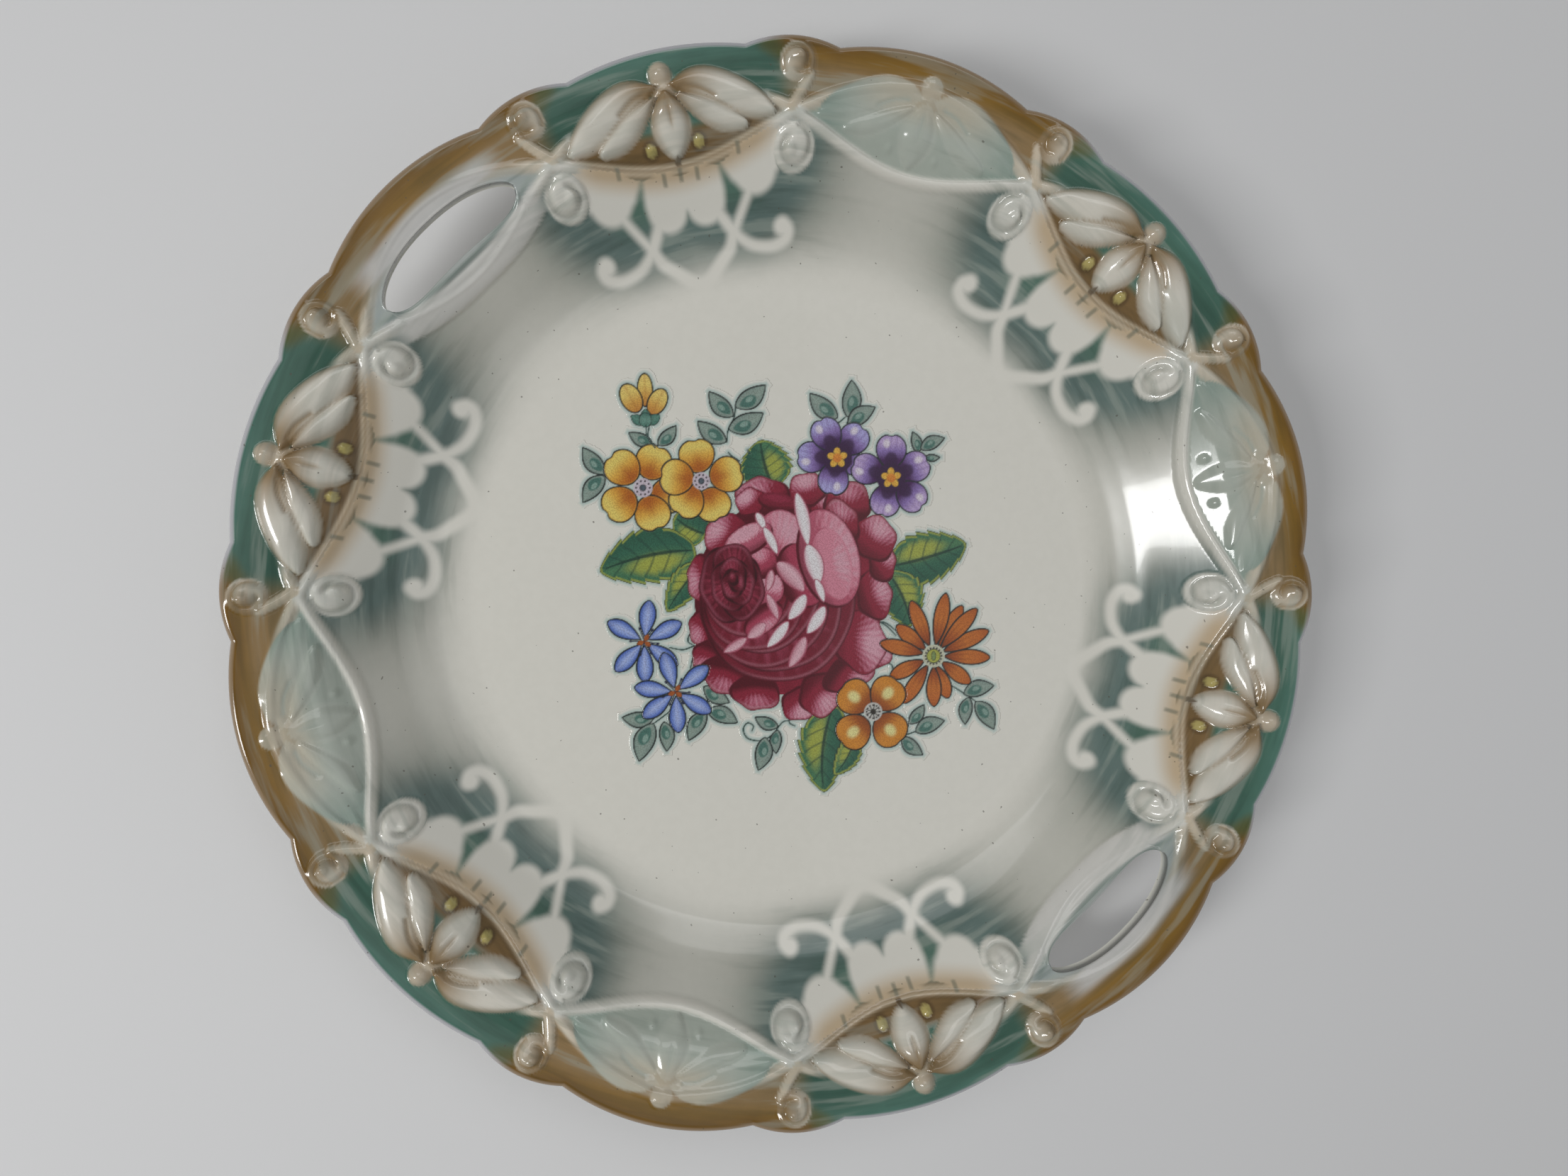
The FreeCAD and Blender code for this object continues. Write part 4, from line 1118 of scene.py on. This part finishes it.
def star_shade(u, v, d):
    """Blue at the edges, pale along the middle, with a dark streak at the base."""
    colour = grade(np.clip(np.abs(v), 0, 1), "#a9b9e6", "#8fa5dc", "#5873bf", "#34519f")
    colour = mix(colour, enamel_ink("#3a56a6"), 0.6 * smooth(0.6, 1.0, u) + 0.25 * smooth(0.35, 0.1, u))
    rays = np.clip(np.sin(v * 14), 0, 1) * smooth(0.8, 0.3, u)
    return mix(colour, enamel_ink("#4a66b0"), 0.3 * rays)


for name, centre, angles in (
    ("blue_star_upper_print", (-37.1, -13.3), (83, 27, -38, -89, 226, 151)),
    ("blue_star_lower_print", (-28.9, -26.8), (107, 38, -31, -86, 218, 173)),
):
    for angle in angles:
        petal = blade(10.3, 2.45, angle, 0.62, 1.35)
        enamel.lay(OWNERS[name], step_out(centre, angle, 0.8), 10.4, petal, star_shade)
    for angle in angles:
        tip = step_out(centre, angle + 28, 3.6)
        lay_stem(name, (centre, tip), 0.2, "#1f2c4a")
        enamel.lay(OWNERS[name], tip, 0.5, oval(0.5, 0.32, angle + 28), plain("#1f2440"), 0)
    for angle in (60, 200, 320):
        enamel.lay(OWNERS[name], centre, 2.0, blade(2.2, 0.75, angle), plain("#9a4f24", "#b0622c"), 0.12)


def daisy_shade(u, v, d):
    """Burnt orange, browner at the base and along the middle."""
    colour = grade(np.clip(u, 0, 1), "#6e3110", "#a5521b", "#c2702a", "#bd6a28", "#a9561c")
    line = np.exp(-((np.abs(v) - 0.3) / 0.1) ** 2) * smooth(0.85, 0.3, u)
    return mix(colour, enamel_ink("#7c3a12"), 0.45 * line)


daisy = "orange_daisy_print"
DAISY = (41, -17.9)
DAISY_ROOT = 2.6
for angle, length in ((60, 16), (24, 17), (-70, 12.5), (205, 13.5), (-36, 13), (141, 13.5), (-2, 16),
                      (-89, 14), (237, 15.5), (166, 15.5), (47, 17.8), (113, 16.5), (79, 17.6)):
    base = step_out(DAISY, angle, DAISY_ROOT)
    petal = blade(length - DAISY_ROOT, 2.3, angle, 0.55, 1.25)
    enamel.lay(OWNERS[daisy], base, length, petal, daisy_shade)
eye(daisy, DAISY, 3.1, "#c3c6ae", 16, "#a9ae4e", 2.0)
enamel.lay(OWNERS[daisy], DAISY, 1.4, oval(1.3, 0.7, 90), plain("#6f8a5a", "#8a9a58"), 0.16)


def buttercup_shade(u, v, d):
    """Golden orange with one pale gleam."""
    colour = grade(np.clip(0.5 - 0.5 * u, 0, 1), "#c07c24", "#d0892c", "#cc8630", "#a2571a", "#7d3c12")
    rays = np.clip(np.sin(np.arctan2(v, u + 1.3) * 34), 0, 1) * smooth(0.5, -0.6, u)
    colour = mix(colour, enamel_ink("#8f4a18"), 0.35 * rays)
    gleam = smooth(1.0, 0.35, np.hypot((u - 0.08) / 0.5, v / 0.4))
    return mix(colour, enamel_ink("#efdf9a"), 0.9 * gleam)


BUTTERCUP = (24.4, -32.9)
lay_petals("buttercup_print", (
    (141, (19.4, -29.0)), (221, (19.2, -38.1)), (-48, (28.9, -37.7)), (52, (28.2, -28.2)),
), (5.0, 5.1), buttercup_shade, 0.15, 0.07)
eye("buttercup_print", BUTTERCUP, 2.5, "#c6c6c0", 12, "#5a5038", 0.8)
for index in range(9):
    lay_stem("buttercup_print", (BUTTERCUP, step_out(BUTTERCUP, index * 40, 2.0)), 0.14, "#2a2620")


def film_cells(owner):
    """The cells under one print's art and flux, with no two that meet only at a corner."""
    mine = (enamel.owner == owner) & (enamel.near < HALO)
    cells = mine[:-1, :-1].copy()
    cells[0, :] = cells[-1, :] = False
    while True:
        a, b = cells[:-1, :-1], cells[1:, 1:]
        c, d = cells[1:, :-1], cells[:-1, 1:]
        first = a & b & ~c & ~d
        second = c & d & ~a & ~b
        if not (first.any() or second.any()):
            return cells
        a[first] = False
        c[second] = False


def film(name, owner):
    """A print as a closed film on the well, feathered to nothing at its edge."""
    cells = film_cells(owner)
    i, j = np.nonzero(cells)
    rows = cells.shape[1] + 1

    def point(di, dj):
        return (i + di) * rows + (j + dj)

    corners = np.stack((point(0, 0), point(1, 0), point(1, 1), point(0, 1)), -1)
    used = np.unique(corners)
    place = np.zeros(enamel.x.size, int)
    place[used] = np.arange(len(used))
    count = len(used)
    upper = place[corners]
    faces = upper.tolist() + (upper[:, ::-1] + count).tolist()
    around = np.pad(cells, 1)
    for di, dj, first, second in ((-1, 0, 3, 0), (1, 0, 1, 2), (0, -1, 0, 1), (0, 1, 2, 3)):
        open_side = ~around[i + 1 + di, j + 1 + dj]
        p, q = upper[open_side, first], upper[open_side, second]
        faces += np.stack((q, p, p + count, q + count), -1).tolist()
    x, y = enamel.x.ravel()[used], enamel.y.ravel()[used]
    near = enamel.near.ravel()[used]
    c, s = math.cos(BOUQUET_TURN), math.sin(BOUQUET_TURN)
    top = FLOOR_TOP + FILM_EDGE + FILM_RISE * smooth(HALO, 0.0, near)
    flat = np.stack((x * c - y * s, x * s + y * c), -1)
    points = np.vstack((np.column_stack((flat, top)), np.column_stack((flat, np.full(count, FLOOR_TOP)))))
    piece = closed_mesh(name, points, faces)
    colour = enamel.colour.reshape(-1, 3)[used]
    flux = mix(WHITE, HALO_TINT, 0.75 * smooth(HALO, 0.0, near))
    colour = mix(flux, colour, smooth(0.1, -0.1, near))
    paint(piece, "glaze", np.vstack((colour, colour)))
    mark(piece, "depth", np.tile(smooth(0.1, -0.3, near), 2))
    return piece


# Materials


class Surface:
    """A material's node tree, with the few nodes that every glaze is made of."""

    def __init__(self, name):
        self.material = bpy.data.materials.new(name)
        self.material.use_nodes = True
        self.tree = self.material.node_tree
        self.shader = self.tree.nodes["Principled BSDF"]

    def node(self, kind, **settings):
        """A new node, with some of its properties set."""
        made = self.tree.nodes.new("ShaderNode" + kind)
        for name, setting in settings.items():
            setattr(made, name, setting)
        return made

    def feed(self, socket, given):
        """Links a socket to an output, or sets it to a constant."""
        if hasattr(given, "links"):
            self.tree.links.new(given, socket)
        else:
            socket.default_value = given

    def attribute(self, name, output="Fac"):
        """What paint or mark left on the piece's points."""
        return self.node("Attribute", attribute_name=name).outputs[output]

    def own_place(self):
        """The object's own coordinates, in metres."""
        return self.node("TexCoord").outputs["Object"]

    def noise(self, place, scale, detail):
        """Noise from about 0 to 1, with its middle at 0.5."""
        texture = self.node("TexNoise")
        for name, given in (("Vector", place), ("Scale", scale), ("Detail", detail)):
            self.feed(texture.inputs[name], given)
        return texture.outputs["Fac"]

    def multiply(self, first, second):
        """The product of two numbers."""
        node = self.node("Math", operation="MULTIPLY")
        self.feed(node.inputs[0], first)
        self.feed(node.inputs[1], second)
        return node.outputs[0]

    def vector(self, operation, *given, output="Vector"):
        """One step of vector arithmetic."""
        node = self.node("VectorMath", operation=operation)
        for socket, operand in zip(node.inputs, given):
            self.feed(socket, operand)
        return node.outputs[output]

    def blend(self, kind, factor, first, second):
        """A colour mix whose inputs are sockets or constants."""
        node = self.node("Mix", data_type="RGBA", blend_type=kind)
        for index, given in ((0, factor), (6, first), (7, second)):
            self.feed(node.inputs[index], given)
        return node.outputs[2]

    def ramp(self, source, low, high, start=0.0, end=1.0):
        """Maps a number smoothly from low..high to start..end."""
        node = self.node("MapRange", interpolation_type="SMOOTHSTEP")
        for index, given in enumerate((source, low, high, start, end)):
            self.feed(node.inputs[index], given)
        return node.outputs[0]

    def glazed(self, colour, roughness):
        """Finishes the shader: fired colour under clear glaze, slightly uneven."""
        for name, given in (
            ("Base Color", colour), ("Roughness", roughness), ("IOR", 1.5),
            ("Coat Weight", 0.35), ("Coat Roughness", 0.05),
        ):
            self.feed(self.shader.inputs[name], given)
        bump = self.node("Bump")
        swell_of_glaze = self.noise(self.own_place(), 75, 2)
        for name, given in (("Strength", 0.1), ("Distance", 0.0004), ("Height", swell_of_glaze)):
            self.feed(bump.inputs[name], given)
        self.feed(self.shader.inputs["Normal"], bump.outputs["Normal"])


def around_axis(surface):
    """Coordinates that run along the turning marks: slow round the plate, fast across it."""
    flat = surface.vector("MULTIPLY", surface.own_place(), (1, 1, 0))
    direction = surface.vector("NORMALIZE", flat)
    height = surface.node("CombineXYZ")
    surface.feed(height.inputs["Z"], surface.multiply(surface.vector("LENGTH", flat, output="Value"), 9.0))
    return surface.vector("ADD", surface.vector("MULTIPLY", direction, (0.1, 0.1, 0.1)), height.outputs[0])


def grained(surface, colour):
    """The slight unevenness of fired colour."""
    grain = surface.ramp(surface.noise(surface.own_place(), 420, 3), 0.3, 0.7, 0.0, 0.1)
    return surface.blend("MULTIPLY", grain, colour, (0.8, 0.8, 0.78, 1))


def porcelain_material():
    """Glazed porcelain: painted colours, brush streaks, the stencil's whites and small specks."""
    glaze = Surface("porcelain_glaze")
    streaks = glaze.attribute("streaks")
    cloudy = glaze.ramp(glaze.noise(glaze.own_place(), 55, 4), 0.38, 0.66, 0.0, 0.6)
    brush = glaze.noise(around_axis(glaze), 40, 3)
    dark = glaze.ramp(brush, 0.5, 0.68, 0.0, 0.75)
    light = glaze.ramp(brush, 0.5, 0.34, 0.0, 0.35)
    colour = glaze.attribute("glaze", "Color")
    for kind, amount, tint in (
        ("MULTIPLY", cloudy, (0.7, 0.74, 0.74)),
        ("MULTIPLY", dark, (0.66, 0.7, 0.68)),
        ("MIX", light, PALE_GLAZE),
    ):
        colour = glaze.blend(kind, glaze.multiply(streaks, amount), colour, (*tint, 1))
    colour = grained(glaze, colour)
    white = glaze.blend("MIX", glaze.attribute("warmth"), (*WHITE, 1), (*WARM, 1))
    colour = glaze.blend("MIX", glaze.ramp(glaze.attribute("stencil"), 1.3, -1.0), colour, white)
    stamens = glaze.ramp(glaze.attribute("stamens"), 0.4, -0.35, 0.0, 0.6)
    specks = glaze.ramp(glaze.noise(glaze.own_place(), 900, 0), 0.85, 0.87, 0.0, 0.6)
    bare = glaze.attribute("bare")
    for amount, tint in ((stamens, STAMEN), (specks, SPECK), (bare, BARE_CLAY)):
        colour = glaze.blend("MIX", amount, colour, (*tint, 1))
    glaze.glazed(colour, glaze.ramp(bare, 0.0, 1.0, 0.16, 0.8))
    return glaze.material


def enamel_material(name):
    """Fired transfer colours under the same clear glaze, with a stipple as fine as an engraving's."""
    glaze = Surface(name)
    colour = grained(glaze, glaze.attribute("glaze", "Color"))
    depth = glaze.attribute("depth")
    stipple = glaze.ramp(glaze.noise(glaze.own_place(), 2600, 1), 0.42, 0.6, 0.0, 0.55)
    colour = glaze.blend("MULTIPLY", glaze.multiply(depth, stipple), colour, (0.62, 0.55, 0.55, 1))
    glaze.glazed(colour, glaze.ramp(depth, 0.0, 1.0, 0.16, 0.24))
    return glaze.material


def show(piece, material, slot, *nodes):
    """Gives a piece its material and its place in the part."""
    piece.data.materials.append(material)
    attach(piece, "root")
    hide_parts(*nodes)


show(build_porcelain(), porcelain_material(), "porcelain", "porcelain_body")
enamels = {slot: enamel_material(slot) for slot in sorted({slot for _, slot in PRINTS})}
for name, slot in PRINTS:
    show(film(name.rsplit("_", 1)[0], OWNERS[name]), enamels[slot], slot, name)


# Floor, light and camera

CAMERA_TILT_X = math.radians(2.56)
CAMERA_TILT_Y = math.radians(6.96)
CAMERA_TURN = math.radians(-45.17)
CAMERA_SHIFT = Vector((3.3, -1.9, -287.5))
FLOOR_SIDE = 25.0


def camera_frame():
    """The camera's place and directions over the plate."""
    turn = Matrix.Rotation(CAMERA_TILT_X, 3, "X") @ Matrix.Rotation(CAMERA_TILT_Y, 3, "Y")
    turn = turn @ Matrix.Rotation(CAMERA_TURN, 3, "Z")
    back = turn.transposed()
    place = -(back @ CAMERA_SHIFT)
    place.z += UPPER[-1][1]
    return place * MM, back


def add_camera():
    """The photograph's view of the plate."""
    place, directions = camera_frame()
    camera = bpy.data.cameras.new("camera")
    camera.lens = 27.0
    camera.sensor_width = 36.0
    camera.clip_start = 0.01
    holder = bpy.data.objects.new("camera", camera)
    holder.matrix_world = Matrix.Translation(place) @ directions.to_4x4()
    bpy.context.scene.collection.objects.link(holder)
    bpy.context.scene.camera = holder
    return directions


def add_area(name, place, size, power, colour=(1, 1, 1)):
    """A soft lamp that faces the plate."""
    light = bpy.data.lights.new(name, "AREA")
    light.shape = "RECTANGLE"
    light.size, light.size_y = size
    light.energy = power
    light.color = colour
    holder = bpy.data.objects.new(name, light)
    holder.location = place
    holder.rotation_euler = (-Vector(place)).to_track_quat("-Z", "Y").to_euler()
    bpy.context.scene.collection.objects.link(holder)


def add_floor():
    """A wide matt floor under the plate."""
    mesh = bpy.data.meshes.new("floor")
    corners = [(x * FLOOR_SIDE, y * FLOOR_SIDE, 0) for x, y in ((-1, -1), (1, -1), (1, 1), (-1, 1))]
    mesh.from_pydata(corners, [], [(0, 1, 2, 3)])
    floor = bpy.data.objects.new("floor", mesh)
    surface = Surface("floor")
    surface.shader.inputs["Base Color"].default_value = (0.8, 0.8, 0.8, 1)
    surface.shader.inputs["Roughness"].default_value = 0.85
    mesh.materials.append(surface.material)
    bpy.context.scene.collection.objects.link(floor)


directions = add_camera()
right = directions @ Vector((1, 0, 0))
up = directions @ Vector((0, 1, 0))
add_floor()
overhead = Vector((0, 0, 0.9))
add_area("window", Vector((0, 0, 0.85)) - right * 0.66 - up * 0.2, (0.16, 0.4), 3.8)
add_area("fill", overhead + right * 0.7, (1.2, 1.2), 1.35, (0.96, 0.98, 1))
add_area("top", overhead + up * 0.6 + Vector((0, 0, 0.3)), (0.9, 0.5), 1.95)

world = bpy.data.worlds.new("studio")
world.use_nodes = True
world.node_tree.nodes["Background"].inputs["Color"].default_value = (0.97, 0.98, 1, 1)
world.node_tree.nodes["Background"].inputs["Strength"].default_value = 0.23
bpy.context.scene.world = world
bpy.context.scene.view_settings.view_transform = "Standard"
